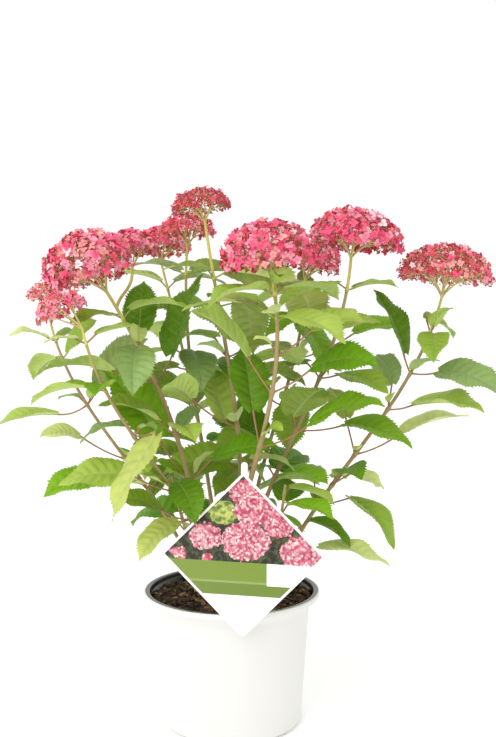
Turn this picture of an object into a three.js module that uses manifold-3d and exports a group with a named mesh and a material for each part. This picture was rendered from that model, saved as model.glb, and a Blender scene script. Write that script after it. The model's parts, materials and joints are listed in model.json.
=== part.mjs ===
// A smooth hydrangea in flower, in its round nursery pot with a plant label on a stake.
// Ten flowering canes and three short leafy shoots rise from the compost. Each cane carries a mass
// of opposite leaves on long stalks and ends in a domed flower head, and one cane forks to two.
// Millimetres, +Z up. The origin is the centre of the pot's flat underside, and the front,
// where the label hangs, faces -Y.
import * as THREE from "three";
import { mergeVertices } from "three/addons/utils/BufferGeometryUtils.js";
import Module from "manifold-3d";

const wasm = await Module();
wasm.setup();

// Pot: a white plastic nursery pot with a stepped shoulder and a rolled grey lip.
const POT_HEIGHT = 143;
const RIM_RADIUS = 95;
const LIP_WIDTH = 6.5;
const LIP_HEIGHT = 6;
const SHOULDER_DROP = 9;
const BASE_RADIUS = 75.5;
const WALL_TOP_RADIUS = 84;
const WALL = 1.8;
const FLOOR = 2.2;
const BASE_CHAMFER = 3;
const POT_SIDES = 40;

// Compost: fills the pot to just below the lip.
const COMPOST_TOP = 137;
const COMPOST_EDGE_DROP = 2;
const COMPOST_FLAT_RADIUS = 64;
const GAP = 0.3;

// Plant label: a square card that stands on one corner in front of the rim, held by a flat stake.
const CARD_CENTRE = [12.5, -92.5, 203];
const CARD_HALF_DIAGONAL = 82;
const CARD_CORNER = 4;
const CARD_THICK = 0.9;
const CARD_LEAN = 4;
const CARD_YAW = 6;
const STAKE_WIDTH = 6.5;
const STAKE_THICK = 1.8;
const STAKE_TOP = [14, -86.1, 295];
const STAKE_LEAN = 5;
const STAKE_LENGTH = 196;

// Canes: radius at the compost and at the flower stalk, and the flare where each leaves the compost.
const CANE_FOOT = COMPOST_TOP + GAP;
const CANE_RADIUS = 2.7;
const STALK_RADIUS = 1.6;
const FOOT_FLARE = 0.5;
const FLARE_HEIGHT = 14;
const BOW = 0.36;
const BARE_BELOW_JOINT = 12;
const STALK_LENGTH = 9;
const SIDES = 6;

// Leaves, as shares of the blade's length.
const HALF_WIDTH = 0.33;
const HALF_THICKNESS = 0.012;
const PETIOLE_RADIUS = 1.1;
const LOWEST_LEAF = 152;

// Each cane: where it stands in the compost and how it leans there, where its flower stalk forks and
// how it leans there, then the heights of its leaf joints, each with the way its pair of leaves points
// (degrees from the plant's right, anticlockwise from above), and the flower head.
// posed holds the leaves that set the plant's look from the front, as POSE_WORDS says.
const POSE_WORDS = ["joint", "side", "turn", "reach", "rise", "swing", "pitch", "length", "curl", "roll"];
const CANES = [
  {
    name: "far_left",
    foot: [-38, 6],
    lean: [-0.22, 0.03],
    tip: [-197, 20, 432],
    tipLean: [-0.22, 0],
    joints: [[246, 184], [282, 185], [341, 165], [392, 134], [411, 205]],
    head: { centre: [-195, 20, 459], radius: 28 },
    posed: [
      [0, 0, 184, 45, 16, 10, 14, 76, 44, -22],
      [1, 0, 185, 56, 30, 35, 22, 50, 30, -30],
      [2, 0, 162, 38, -26, 40, 6, 74, 30, -6],
      [2, 1, 10, 24, 56, 12, 64, 78, 40, -54],
      [3, 0, 134, 12, 0, 0, -8, 56, 40, 10],
      [3, 1, 312, 12, 24, 12, 50, 58, 14, 55],
      [4, 0, 205, 10, 20, 5, 30, 44, 45, 0],
      [4, 1, 60, 10, 20, -20, 20, 42, 30, 0],
    ],
  },
  {
    name: "left",
    foot: [-18, -14],
    lean: [-0.07, -0.1],
    tip: [-144, -95, 428],
    tipLean: [-0.2, -0.1],
    joints: [[226, 225], [258, 187], [318, 110], [366, 186], [413, 188]],
    head: { centre: [-165, -95, 447], radius: 25 },
    posed: [
      [0, 0, 225, 14, 0, 10, -14, 66, 36, -8],
      [0, 1, 150, 40, 4, 45, 30, 54, 20, -22],
      [1, 0, 187, 44, 24, 6, 16, 78, 40, -34],
      [2, 1, 330, 30, 26, -115, -48, 98, 16, 5],
      [3, 0, 186, 20, 16, -20, 0, 64, 30, 0],
      [4, 0, 188, 12, 30, 40, 12, 38, 30, 0],
      [4, 1, 20, 14, 50, 0, 20, 44, 20, 0],
    ],
  },
  {
    name: "left_tall",
    foot: [-27, -4],
    lean: [-0.07, -0.06],
    tip: [-128, -36, 464],
    tipLean: [-0.62, -0.05],
    joints: [[262, 175], [314, 330], [370, 208], [406, 268], [436, 200]],
    head: { centre: [-147, -38, 489], radius: 47, tall: 1.25 },
    posed: [
      [0, 0, 176, 58, 54, 7, 60, 94, 14, -58],
      [1, 0, 290, 14, 30, 0, 20, 60, 44, 0],
      [2, 0, 222, 50, 14, -8, 20, 84, 34, 15],
      [2, 1, 38, 36, 46, 0, 72, 94, 12, 0],
      [3, 0, 268, 20, 12, 4, -20, 72, 34, 0],
      [3, 1, 110, 18, 50, -10, 74, 66, 14, 0],
      [4, 0, 214, 9, 30, 12, 12, 60, 40, -10],
      [4, 1, 330, 14, 50, 20, 24, 64, 44, 0],
    ],
  },
  {
    name: "tall",
    foot: [-2, 4],
    lean: [0.22, -0.02],
    tip: [-28, 0, 538],
    tipLean: [-0.14, 0],
    joints: [[268, 60], [319, 205], [360, 290], [394, 205], [448, 85], [478, 184]],
    head: { centre: [-32, 0, 554], radius: 32 },
    posed: [
      [0, 0, 135, 20, 36, 38, 10, 76, 32, -40],
      [1, 0, 205, 62, 30, 38, 36, 62, 34, 30],
      [1, 1, 150, 18, 10, -20, 66, 78, 20, 0],
      [2, 1, 120, 20, 40, 0, 30, 80, 40, 0],
      [3, 1, 30, 30, 30, 20, 10, 80, 40, 10],
      [4, 0, 45, 42, 24, 34, -32, 78, 40, 0],
      [4, 1, 250, 16, 40, 60, 10, 74, 40, 0],
      [5, 0, 184, 13, 40, -26, 18, 62, 34, 0],
      [5, 1, 26, 17, 36, -30, 0, 86, 28, -52],
    ],
  },
  {
    name: "front",
    foot: [-4, -14],
    lean: [0.06, -0.18],
    tip: [40, -108, 481],
    tipLean: [-0.21, -0.22],
    joints: [[306, 0], [363, 173], [400, 75], [437, 292], [461, 185]],
    head: { centre: [36, -110, 502], radius: 45, tall: 1.05 },
    posed: [
      [0, 0, 358, 58, 22, -24, 36, 84, 34, 25],
      [0, 1, 150, 38, 80, -40, 72, 74, 24, 0],
      [1, 0, 173, 44, 58, -26, 50, 84, 30, 42],
      [1, 1, 358, 48, 34, -30, 26, 74, 40, 34],
      [2, 1, 350, 44, 40, 20, 30, 58, 36, 30],
      [3, 0, 292, 22, 12, 26, 0, 76, 36, 16],
      [3, 1, 130, 24, 40, 20, 16, 84, 36, -10],
      [4, 0, 181, 12, 30, 38, 6, 72, 34, 0],
      [4, 1, 36, 12, 40, 0, 12, 76, 34, 0],
    ],
  },
  {
    name: "right",
    foot: [12, 6],
    lean: [0.1, 0.02],
    tip: [126, -10, 500],
    tipLean: [0.07, 0],
    joints: [[264, 90], [316, 355], [372, 290], [420, 20], [466, 355]],
    head: { centre: [131, -10, 521], radius: 48 },
    posed: [
      [1, 0, 355, 55, 10, -8, 4, 84, 36, 15],
      [1, 1, 250, 20, 60, 46, 40, 76, 20, -12],
      [3, 0, 10, 10, 40, 0, 30, 44, 40, 20],
      [3, 1, 200, 20, 50, 20, 10, 84, 40, -10],
      [4, 0, 20, 9, 10, -4, 20, 52, 36, 0],
      [4, 1, 177, 12, 50, 26, -4, 76, 26, 0],
    ],
  },
  {
    name: "back_right",
    foot: [22, 26],
    lean: [-0.13, 0.2],
    tip: [84, 110, 478],
    tipLean: [0, 0.1],
    joints: [[280, 70], [334, 350], [386, 340], [430, 215], [458, 100]],
    head: { centre: [94, 110, 502], radius: 32, tall: 1.3 },
    posed: [
      [0, 0, 104, 24, 60, 34, 30, 86, 34, -30],
      [1, 0, 304, 22, 10, -40, -20, 72, 40, 0],
      [2, 0, 352, 76, 24, 6, 24, 62, 30, 25],
      [3, 0, 215, 42, 0, 50, -30, 90, 40, 0],
      [3, 1, 40, 20, 40, 0, 10, 80, 40, 10],
      [4, 0, 200, 16, 30, 20, 0, 72, 40, 0],
      [4, 1, 264, 42, 8, 14, -10, 82, 36, 16],
    ],
  },
  {
    name: "far_right",
    foot: [42, 4],
    lean: [0.37, -0.02],
    tip: [224, 0, 459],
    tipLean: [0.25, 0],
    joints: [[232, 357], [256, 4], [289, 355], [338, 352], [377, 329], [420, 274]],
    head: { centre: [228, 0, 483], radius: 51 },
    posed: [
      [0, 0, 357, 37, 26, -42, -16, 78, 36, -10],
      [1, 0, 4, 25, 44, 10, -8, 44, 30, 25],
      [2, 0, 355, 56, 26, 14, 26, 78, 26, 8],
      [2, 1, 124, 42, 74, -16, 48, 54, 24, 0],
      [3, 0, 350, 27, 10, -24, 14, 82, 26, 8],
      [3, 1, 66, 30, 62, 40, 54, 54, 30, -20],
      [4, 0, 329, 32, 4, -10, 6, 78, 40, 30],
      [4, 1, 118, 24, 55, 24, 70, 80, 14, 10],
      [5, 0, 274, 16, 0, -14, -8, 58, 34, 0],
      [5, 1, 100, 18, 70, -60, 0, 54, 40, 30],
    ],
  },
  {
    name: "back",
    foot: [-10, 18],
    lean: [-0.1, 0.12],
    tip: [-51, 72, 516],
    tipLean: [0.07, 0.02],
    joints: [[286, 140], [342, 60], [390, 150], [436, 70], [484, 160]],
    head: { centre: [-50, 72, 534], radius: 30 },
    posed: [],
  },
  {
    name: "back_left",
    foot: [-16, 34],
    lean: [-0.06, 0.35],
    tip: [-87, 146, 500],
    tipLean: [-0.25, 0.08],
    joints: [[262, 190], [318, 110], [372, 200], [424, 120], [468, 190]],
    head: { centre: [-86, 150, 521], radius: 34 },
    posed: [],
  },
];

// Short shoots between the canes: leaves only, low down round the plant.
const SHOOTS = [
  {
    name: "low_right",
    foot: [30, -22],
    lean: [0.25, -0.2],
    tip: [56, -52, 266],
    tipLean: [0.1, -0.1],
    joints: [[200, 328], [232, 0], [256, 80]],
    posed: [
      [0, 0, 330, 48, 0, 0, 4, 78, 30, 5],
      [0, 1, 13, 46, 44, -50, -4, 56, 34, 0],
      [1, 0, 300, 20, 60, 20, 12, 60, 30, 0],
    ],
  },
  {
    name: "low_back",
    foot: [6, 46],
    lean: [0.05, 0.35],
    tip: [22, 92, 268],
    tipLean: [0.1, 0.15],
    joints: [[190, 100], [226, 10], [258, 80]],
    posed: [],
  },
  {
    name: "low_back_left",
    foot: [-34, 34],
    lean: [-0.25, 0.25],
    tip: [-70, 76, 262],
    tipLean: [-0.1, 0.2],
    joints: [[190, 150], [224, 60], [252, 150]],
    posed: [],
  },
];

// The second flower head of the forked cane: its stalk leaves the cane above the last leaf joint.
const FORK = {
  cane: "left_tall",
  height: 447,
  lean: [0.1, 1.2],
  tip: [-109, 32, 490],
  tipLean: [-0.1, 0.5],
  head: { centre: [-110, 38, 514], radius: 28 },
};
const FORK_CLEARANCE = 2.4;

// Flower heads, as shares of the head's radius.
const HEAD_UPRIGHT = 0.9;
const DOME_TOP = 0.62;
const DOME_DIMPLE = -0.12;
const DOME_RINGS = [[0.42, 0.55], [0.76, 0.36], [0.98, 0.06], [1.0, -0.2], [0.78, -0.4], [0.4, -0.28]];
const DOME_SEGMENTS = 12;
const LUMP = 0.08;
const BRANCHES = 5;
const BRANCH_RADIUS = 1.0;

const RADIANS = Math.PI / 180;
const vector = (x, y, z) => new THREE.Vector3(x, y, z);

// A stream of numbers from 0 to 1 that is the same on every run.
function randomFrom(seed) {
  let state = (seed * 7919 + 104729) % 2147483647;
  const next = () => {
    state = (state * 16807) % 2147483647;
    return state / 2147483647;
  };
  next();
  next();
  return next;
}

function direction(turn, rise) {
  const level = Math.cos(rise * RADIANS);
  return vector(Math.cos(turn * RADIANS) * level, Math.sin(turn * RADIANS) * level, Math.sin(rise * RADIANS));
}

// A centre line that leaves its foot along one lean and arrives at its tip along another.
function bowedCurve(foot, lean, tip, tipLean) {
  const handle = foot.distanceTo(tip) * BOW;
  const start = vector(lean[0], lean[1], 1).normalize().multiplyScalar(handle);
  const end = vector(tipLean[0], tipLean[1], 1).normalize().multiplyScalar(handle);
  return new THREE.CubicBezierCurve3(foot, foot.clone().add(start), tip.clone().sub(end), tip);
}

function caneCurve(cane) {
  return bowedCurve(vector(...cane.foot, CANE_FOOT), cane.lean, vector(...cane.tip), cane.tipLean);
}

// The curve's parameter at a height above the ground.
function parameterAt(curve, height) {
  let low = 0;
  let high = 1;
  for (let i = 0; i < 40; i += 1) {
    const middle = (low + high) / 2;
    if (curve.getPoint(middle).z < height) low = middle;
    else high = middle;
  }
  return low;
}

function caneRadius(t, height) {
  const flare = FOOT_FLARE * Math.max(0, 1 - (height - CANE_FOOT) / FLARE_HEIGHT);
  return (CANE_RADIUS + (STALK_RADIUS - CANE_RADIUS) * t) * (1 + flare);
}

// The blade's half width at a share s of its length, as a share of its widest: broad near the base,
// then drawn out to a long point.
const WIDEST = 0.45 / 1.7;
function bladeWidth(s) {
  const shape = (share) => share ** 0.45 * (1 - share) ** 1.25;
  return shape(s) / shape(WIDEST);
}

// A leaf's shape in space: its stalk leaves the joint at a turn and rise, and bends towards the
// blade, whose midrib starts at a pitch and curls down along its length.
function leafFrom(pose, joint) {
  const out = direction(pose.turn, pose.rise).multiplyScalar(pose.reach / 2);
  const bend = joint.clone().add(out);
  const onward = direction(pose.turn, (pose.rise + pose.pitch) / 2).multiplyScalar(pose.reach / 2);
  const base = bend.clone().add(onward);
  const heading = pose.turn + pose.swing;
  const curl = Math.max(1, pose.curl) * RADIANS;
  const start = pose.pitch * RADIANS;
  const frame = (s) => {
    const slope = start - curl * s;
    const along = ((Math.sin(start) - Math.sin(slope)) / curl) * pose.length;
    const up = ((Math.cos(slope) - Math.cos(start)) / curl) * pose.length;
    const level = direction(heading, 0);
    const across = vector(-level.y, level.x, 0);
    const normal = level.clone().multiplyScalar(-Math.sin(slope)).add(vector(0, 0, Math.cos(slope)));
    const roll = pose.roll * RADIANS;
    return {
      middle: base.clone().addScaledVector(level, along).add(vector(0, 0, up)),
      side: across.clone().multiplyScalar(Math.cos(roll)).addScaledVector(normal, Math.sin(roll)),
      face: normal.clone().multiplyScalar(Math.cos(roll)).addScaledVector(across, -Math.sin(roll)),
    };
  };
  const point = (s, v) => {
    const { middle, side, face } = frame(s);
    const half = pose.length * HALF_WIDTH * bladeWidth(s);
    const fold = pose.fold * RADIANS;
    return middle
      .clone()
      .addScaledVector(side, v * half * Math.cos(fold))
      .addScaledVector(face, Math.abs(v) * half * Math.sin(fold));
  };
  const stalk = new THREE.QuadraticBezierCurve3(joint, bend, frame(0.08).middle);
  return { pose, joint, stalk, frame, point };
}

// Places already taken: balls along every cane, over the flower heads and the label, then over each
// leaf as it is placed. A leaf is placed only where all its own balls are clear of them.
const taken = [];

function isClear(balls) {
  for (const ball of balls) {
    if (ball.at.z < LOWEST_LEAF) return false;
    for (const other of taken) {
      const apart = ball.radius + other.radius;
      const dx = ball.at.x - other.at.x;
      if (dx > apart || dx < -apart) continue;
      if (other.cane === ball.cane && (ball.nearStem ? other.stem : other.joint === ball.joint)) continue;
      if (ball.at.distanceToSquared(other.at) < apart * apart) return false;
    }
  }
  return true;
}

const STALK_BALLS = [0.3, 0.6, 0.9];
const STALK_BALL = 2.2;
const BLADE_ROWS = [0.06, 0.18, 0.3, 0.42, 0.54, 0.68, 0.84, 1];
const BLADE_COLUMNS = [-0.95, -0.64, -0.32, 0, 0.32, 0.64, 0.95];
const BLADE_BALL = 0.048;
const BLADE_BALL_NEAR_STEM = 0.3;

function leafBalls(leaf, cane, joint) {
  const balls = [];
  for (const t of STALK_BALLS) {
    balls.push({ at: leaf.stalk.getPoint(t), radius: STALK_BALL, cane, joint, nearStem: true });
  }
  for (const s of BLADE_ROWS) {
    for (const v of BLADE_COLUMNS) {
      const nearStem = s < BLADE_BALL_NEAR_STEM;
      balls.push({ at: leaf.point(s, v), radius: leaf.pose.length * BLADE_BALL, cane, joint, nearStem });
    }
  }
  return balls;
}

const STEM_STEP = 7;
const STEM_CLEARANCE = 1.4;

function takeStem(name, curve) {
  const steps = Math.ceil(curve.getLength() / STEM_STEP);
  for (let i = 0; i <= steps; i += 1) {
    const at = curve.getPoint(i / steps);
    taken.push({ at, radius: caneRadius(i / steps, at.z) + STEM_CLEARANCE, cane: name, stem: true });
  }
}

function headFrame(name, curve, head) {
  const hub = curve.getPoint(1);
  const centre = vector(...head.centre);
  const axis = centre.clone().sub(hub).normalize().add(vector(0, 0, HEAD_UPRIGHT)).normalize();
  const right = vector(0, 1, 0).cross(axis).normalize();
  const away = axis.clone().cross(right);
  return { name, curve, axis, hub, right, away, centre, radius: head.radius, tall: head.tall ?? 1 };
}

const HEAD_BALL = 0.42;
const HEAD_BALL_RING = 0.62;
const HEAD_BALLS = 7;

function takeHead(name, head) {
  taken.push({ at: head.centre, radius: head.radius * HEAD_BALL, cane: name, head: true });
  for (let i = 0; i < HEAD_BALLS; i += 1) {
    const angle = (i / HEAD_BALLS) * 2 * Math.PI;
    const at = head.centre
      .clone()
      .addScaledVector(head.right, Math.cos(angle) * head.radius * HEAD_BALL_RING)
      .addScaledVector(head.away, Math.sin(angle) * head.radius * HEAD_BALL_RING);
    taken.push({ at, radius: head.radius * HEAD_BALL, cane: name, head: true });
  }
}

// The card's frame: it stands on one corner, leans back a little and turns a little to one side.
function cardFrame() {
  const frame = new THREE.Matrix4()
    .makeTranslation(...CARD_CENTRE)
    .multiply(new THREE.Matrix4().makeRotationZ(-CARD_YAW * RADIANS))
    .multiply(new THREE.Matrix4().makeRotationX((90 - CARD_LEAN) * RADIANS));
  return frame;
}

const CARD_BALLS = 12;
const CARD_BALL = 7;

function takeLabel() {
  const frame = cardFrame();
  for (let i = 0; i <= CARD_BALLS; i += 1) {
    for (let j = 0; j <= CARD_BALLS; j += 1) {
      const along = (i / CARD_BALLS - 0.5) * CARD_HALF_DIAGONAL;
      const up = (j / CARD_BALLS - 0.5) * CARD_HALF_DIAGONAL;
      const at = vector(along - up, along + up, 0).applyMatrix4(frame);
      taken.push({ at, radius: CARD_BALL, cane: "label" });
    }
  }
  for (let i = 0; i <= CARD_BALLS; i += 1) {
    const down = (i / CARD_BALLS) * STAKE_LENGTH;
    const at = vector(...STAKE_TOP).addScaledVector(direction(90, STAKE_LEAN - 90), down);
    taken.push({ at, radius: CARD_BALL, cane: "label" });
  }
}

// Leaf sizes: blade length, then how much shorter the blades and stalks are near the flowers.
const BLADE_SHORTEST = 70;
const BLADE_SPREAD = 26;
const NEAR_FLOWER = 0.72;
const SMALLER_NEAR_FLOWER = 0.24;
const STALK_SHORTEST = 14;
const STALK_SPREAD = 34;
const TRIES = 13;
const TRY_TURN = 16;

// A leaf that the rule grows: numbers drawn for its joint and side, then a few turns to find room.
function grownPose(index, joint, side, turn, share) {
  const draw = randomFrom(index * 100 + joint * 10 + side);
  const small = 1 - SMALLER_NEAR_FLOWER * Math.max(0, (share - NEAR_FLOWER) / (1 - NEAR_FLOWER));
  return {
    turn: turn + side * 180 + (draw() - 0.5) * 30,
    length: (BLADE_SHORTEST + BLADE_SPREAD * draw()) * small,
    reach: (STALK_SHORTEST + STALK_SPREAD * draw()) * (1.25 - share) * small,
    rise: 15 + 45 * draw(),
    swing: (draw() - 0.5) * 36,
    pitch: -12 + 50 * draw(),
    curl: 22 + 34 * draw(),
    roll: (draw() - 0.5) * 50,
    fold: 8 + 16 * draw(),
  };
}

function retried(pose, attempt) {
  const step = Math.ceil(attempt / 2) * (attempt % 2 ? 1 : -1);
  return {
    ...pose,
    turn: pose.turn + step * TRY_TURN,
    rise: pose.rise + (attempt > 4 ? 12 : 0),
    length: pose.length * (1 - 0.03 * attempt),
  };
}

// Grows every leaf: the posed ones first, then the rest of each joint's pair by the rule.
function growLeaves(stems, curves) {
  const leaves = stems.map(() => []);
  const place = (index, stem, joint, pose) => {
    const at = curves[index].getPoint(parameterAt(curves[index], stem.joints[joint][0]));
    for (let attempt = 0; attempt < TRIES; attempt += 1) {
      const leaf = leafFrom(retried(pose, attempt), at);
      const balls = leafBalls(leaf, stem.name, joint);
      if (isClear(balls)) {
        taken.push(...balls);
        leaves[index].push(leaf);
        return;
      }
    }
  };
  stems.forEach((stem, index) => {
    for (const row of stem.posed) {
      const pose = Object.fromEntries(POSE_WORDS.map((word, i) => [word, row[i]]));
      const draw = randomFrom(index * 100 + pose.joint * 10 + pose.side);
      place(index, stem, pose.joint, { ...pose, fold: 8 + 16 * draw() });
    }
  });
  stems.forEach((stem, index) => {
    stem.joints.forEach(([height, turn], joint) => {
      const share = (height - CANE_FOOT) / (stem.tip[2] - CANE_FOOT);
      for (const side of [0, 1]) {
        if (stem.posed.some((row) => row[0] === joint && row[1] === side)) continue;
        place(index, stem, joint, grownPose(index, joint, side, turn, share));
      }
    });
  });
  return leaves;
}

// A closed mesh from points and faces, turned right side out.
function closed(points, faces) {
  const positions = points.flatMap((p) => [p.x, p.y, p.z]);
  let volume = 0;
  for (const [a, b, c] of faces) {
    volume += points[a].clone().cross(points[b]).dot(points[c]);
  }
  const index = faces.flatMap(([a, b, c]) => (volume < 0 ? [a, c, b] : [a, b, c]));
  const geometry = new THREE.BufferGeometry();
  geometry.setAttribute("position", new THREE.Float32BufferAttribute(positions, 3));
  geometry.setIndex(index);
  return geometry;
}

// A skin over rings of points, closed at each end by a point or, with none, by a flat cap.
function loft(rings, first, last) {
  const size = rings[0].length;
  const points = rings.flat();
  const faces = [];
  for (let r = 0; r + 1 < rings.length; r += 1) {
    for (let i = 0; i < size; i += 1) {
      const a = r * size + i;
      const b = r * size + ((i + 1) % size);
      faces.push([a, b, b + size], [a, b + size, a + size]);
    }
  }
  const cap = (start, point, flip) => {
    if (point) points.push(point);
    for (let i = point ? 0 : 1; i < (point ? size : size - 1); i += 1) {
      const a = start + i;
      const b = start + ((i + 1) % size);
      const apex = point ? points.length - 1 : start;
      faces.push(flip ? [apex, b, a] : [apex, a, b]);
    }
  };
  cap(0, first, true);
  cap((rings.length - 1) * size, last, false);
  return closed(points, faces);
}

// A tapered limb along a curve, with its end faces square to it, or level where it stands on the compost.
function limb(curve, from, to, steps, sides, radiusAt) {
  const rings = [];
  for (let i = 0; i <= steps; i += 1) {
    const t = from + ((to - from) * i) / steps;
    const at = curve.getPoint(t);
    const level = from === 0 && i === 0;
    const tangent = level ? vector(0, 0, 1) : curve.getTangent(t);
    const u = vector(0, 1, 0).cross(tangent);
    if (u.length() < 0.2) u.copy(vector(1, 0, 0).cross(tangent));
    u.normalize();
    const v = tangent.clone().cross(u);
    const ring = [];
    for (let k = 0; k < sides; k += 1) {
      const angle = (k / sides) * 2 * Math.PI;
      const radius = radiusAt(t, at.z);
      const out = u.clone().multiplyScalar(Math.cos(angle)).addScaledVector(v, Math.sin(angle));
      ring.push(at.clone().addScaledVector(out, radius));
    }
    rings.push(ring);
  }
  return loft(rings, null, null);
}

const BLADE_STATIONS = [0.07, 0.32, 0.66];

// A leaf blade: a thin lens whose upper and under faces meet along its outline.
function blade(leaf) {
  const rings = BLADE_STATIONS.map((s) => {
    const { middle, face } = leaf.frame(s);
    const thick = leaf.pose.length * HALF_THICKNESS;
    return [
      leaf.point(s, -1),
      middle.clone().addScaledVector(face, thick),
      leaf.point(s, 1),
      middle.clone().addScaledVector(face, -thick),
    ];
  });
  return loft(rings, leaf.frame(0).middle, leaf.frame(1).middle);
}

function petiole(leaf) {
  return limb(leaf.stalk, 0.001, 1, 2, 3, () => PETIOLE_RADIUS);
}

// The domed cushion of florets, lumpy all over, with a dimple underneath where its branches enter.
function dome(head, draw) {
  const place = (out, up, angle) =>
    head.centre
      .clone()
      .addScaledVector(head.right, Math.cos(angle) * out * head.radius)
      .addScaledVector(head.away, Math.sin(angle) * out * head.radius)
      .addScaledVector(head.axis, up * head.radius * head.tall);
  const rings = DOME_RINGS.map(([out, up], row) => {
    const ring = [];
    for (let i = 0; i < DOME_SEGMENTS; i += 1) {
      const lump = 1 + LUMP * (2 * draw() - 1);
      ring.push(place(out * lump, up * lump, ((i + (row % 2) / 2) / DOME_SEGMENTS) * 2 * Math.PI));
    }
    return ring;
  });
  return loft(rings, place(0, DOME_TOP, 0), place(0, DOME_DIMPLE, 0));
}

// A branch that climbs from the fork of the flower stalk into the dome.
function branch(head, angle) {
  const inside = head.centre
    .clone()
    .addScaledVector(head.right, Math.cos(angle) * head.radius * 0.55)
    .addScaledVector(head.away, Math.sin(angle) * head.radius * 0.55);
  const start = head.hub.clone().addScaledVector(head.axis, -0.6);
  return limb(new THREE.LineCurve3(start, inside), 0.001, 1, 1, 3, () => BRANCH_RADIUS);
}

function manifold(geometry) {
  const bare = geometry.clone();
  bare.deleteAttribute("normal");
  bare.deleteAttribute("uv");
  const merged = mergeVertices(bare, 1e-4);
  return new wasm.Manifold(
    new wasm.Mesh({
      numProp: 3,
      vertProperties: new Float32Array(merged.attributes.position.array),
      triVerts: new Uint32Array(merged.index.array),
    }),
  );
}

// One geometry from a solid, with any loose scrap dropped.
function geometryOf(solid) {
  const bodies = solid.decompose().sort((a, b) => b.volume() - a.volume());
  const mesh = bodies[0].getMesh();
  const geometry = new THREE.BufferGeometry();
  geometry.setAttribute("position", new THREE.BufferAttribute(Float32Array.from(mesh.vertProperties), 3));
  geometry.setIndex(new THREE.BufferAttribute(Uint32Array.from(mesh.triVerts), 1));
  return geometry;
}

function fused(geometries) {
  return geometries.map(manifold).reduce((whole, next) => whole.add(next));
}

function turned(profile) {
  const points = profile.map(([radius, height]) => new THREE.Vector2(radius, height));
  return new THREE.LatheGeometry(points, POT_SIDES).rotateX(Math.PI / 2);
}

const innerRadius = (height) => {
  const share = height / (POT_HEIGHT - LIP_HEIGHT - SHOULDER_DROP);
  return BASE_RADIUS + (WALL_TOP_RADIUS - BASE_RADIUS) * share - WALL;
};

function potGeometry() {
  const lipFoot = POT_HEIGHT - LIP_HEIGHT;
  const shoulder = lipFoot - SHOULDER_DROP;
  const lipInner = RIM_RADIUS - LIP_WIDTH;
  const roll = LIP_HEIGHT * 0.3;
  return turned([
    [0, 0],
    [BASE_RADIUS - BASE_CHAMFER, 0],
    [BASE_RADIUS, BASE_CHAMFER],
    [WALL_TOP_RADIUS, shoulder],
    [lipInner + WALL, lipFoot],
    [RIM_RADIUS, lipFoot],
    [RIM_RADIUS, POT_HEIGHT - roll],
    [RIM_RADIUS - roll, POT_HEIGHT],
    [lipInner + roll / 2, POT_HEIGHT],
    [lipInner, POT_HEIGHT - roll],
    [lipInner, lipFoot + 1],
    [innerRadius(shoulder), shoulder + 1],
    [innerRadius(FLOOR), FLOOR],
    [0, FLOOR],
  ]);
}

function compostGeometry() {
  const shoulder = POT_HEIGHT - LIP_HEIGHT - SHOULDER_DROP;
  const edge = COMPOST_TOP - COMPOST_EDGE_DROP;
  const lipInner = RIM_RADIUS - LIP_WIDTH;
  const inset = GAP * 1.5;
  const wall = innerRadius(shoulder);
  const wallAtEdge = wall + ((lipInner - wall) * (edge - shoulder - 1)) / SHOULDER_DROP;
  const whole = manifold(
    turned([
      [0, FLOOR + GAP],
      [innerRadius(FLOOR) - inset, FLOOR + GAP],
      [wall - inset, shoulder + 1],
      [wallAtEdge - inset, edge],
      [COMPOST_FLAT_RADIUS, COMPOST_TOP],
      [0, COMPOST_TOP],
    ]),
  );
  return geometryOf(whole.subtract(manifold(stakeGeometry(GAP))));
}

// The stake: a flat strip with a round top, as large all round as asked for its slot in the compost.
function stakeGeometry(margin) {
  const half = STAKE_WIDTH / 2 + margin;
  const outline = new THREE.Shape();
  outline.absarc(0, -STAKE_WIDTH / 2, half, 0, Math.PI, false);
  outline.lineTo(-half, -STAKE_LENGTH + STAKE_WIDTH);
  outline.lineTo(0, -STAKE_LENGTH - margin);
  outline.lineTo(half, -STAKE_LENGTH + STAKE_WIDTH);
  const depth = STAKE_THICK + 2 * margin;
  const strip = new THREE.ExtrudeGeometry(outline, { depth, bevelEnabled: false, curveSegments: 6 });
  strip.translate(0, 0, -depth / 2);
  strip.rotateX((90 + STAKE_LEAN) * RADIANS);
  return strip.translate(...STAKE_TOP);
}

function cardGeometry() {
  const half = CARD_HALF_DIAGONAL;
  const cut = CARD_CORNER;
  const outline = new THREE.Shape();
  outline.moveTo(half - cut, -cut);
  outline.quadraticCurveTo(half, 0, half - cut, cut);
  outline.lineTo(cut, half - cut);
  outline.quadraticCurveTo(0, half, -cut, half - cut);
  outline.lineTo(-half + cut, cut);
  outline.quadraticCurveTo(-half, 0, -half + cut, -cut);
  outline.lineTo(-cut, -half + cut);
  outline.quadraticCurveTo(0, -half, cut, -half + cut);
  outline.closePath();
  const card = new THREE.ExtrudeGeometry(outline, { depth: CARD_THICK, bevelEnabled: false, curveSegments: 3 });
  return card.applyMatrix4(cardFrame());
}

const finish = (color, roughness) => new THREE.MeshStandardMaterial({ color, roughness, metalness: 0 });
const POT_PLASTIC = finish(0xf1efea, 0.35);
const COMPOST = finish(0x3d2a20, 0.95);
const CARD = finish(0xf4f4f2, 0.4);
const STAKE = finish(0xf8f8f6, 0.4);
const BARK = finish(0xa98f66, 0.7);
const LEAF = finish(0x6da12f, 0.5);
const BLOSSOM = finish(0xd2405f, 0.6);

const plant = new THREE.Group();

function add(name, geometry, material) {
  const mesh = new THREE.Mesh(geometry, material);
  mesh.name = name;
  plant.add(mesh);
}

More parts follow.
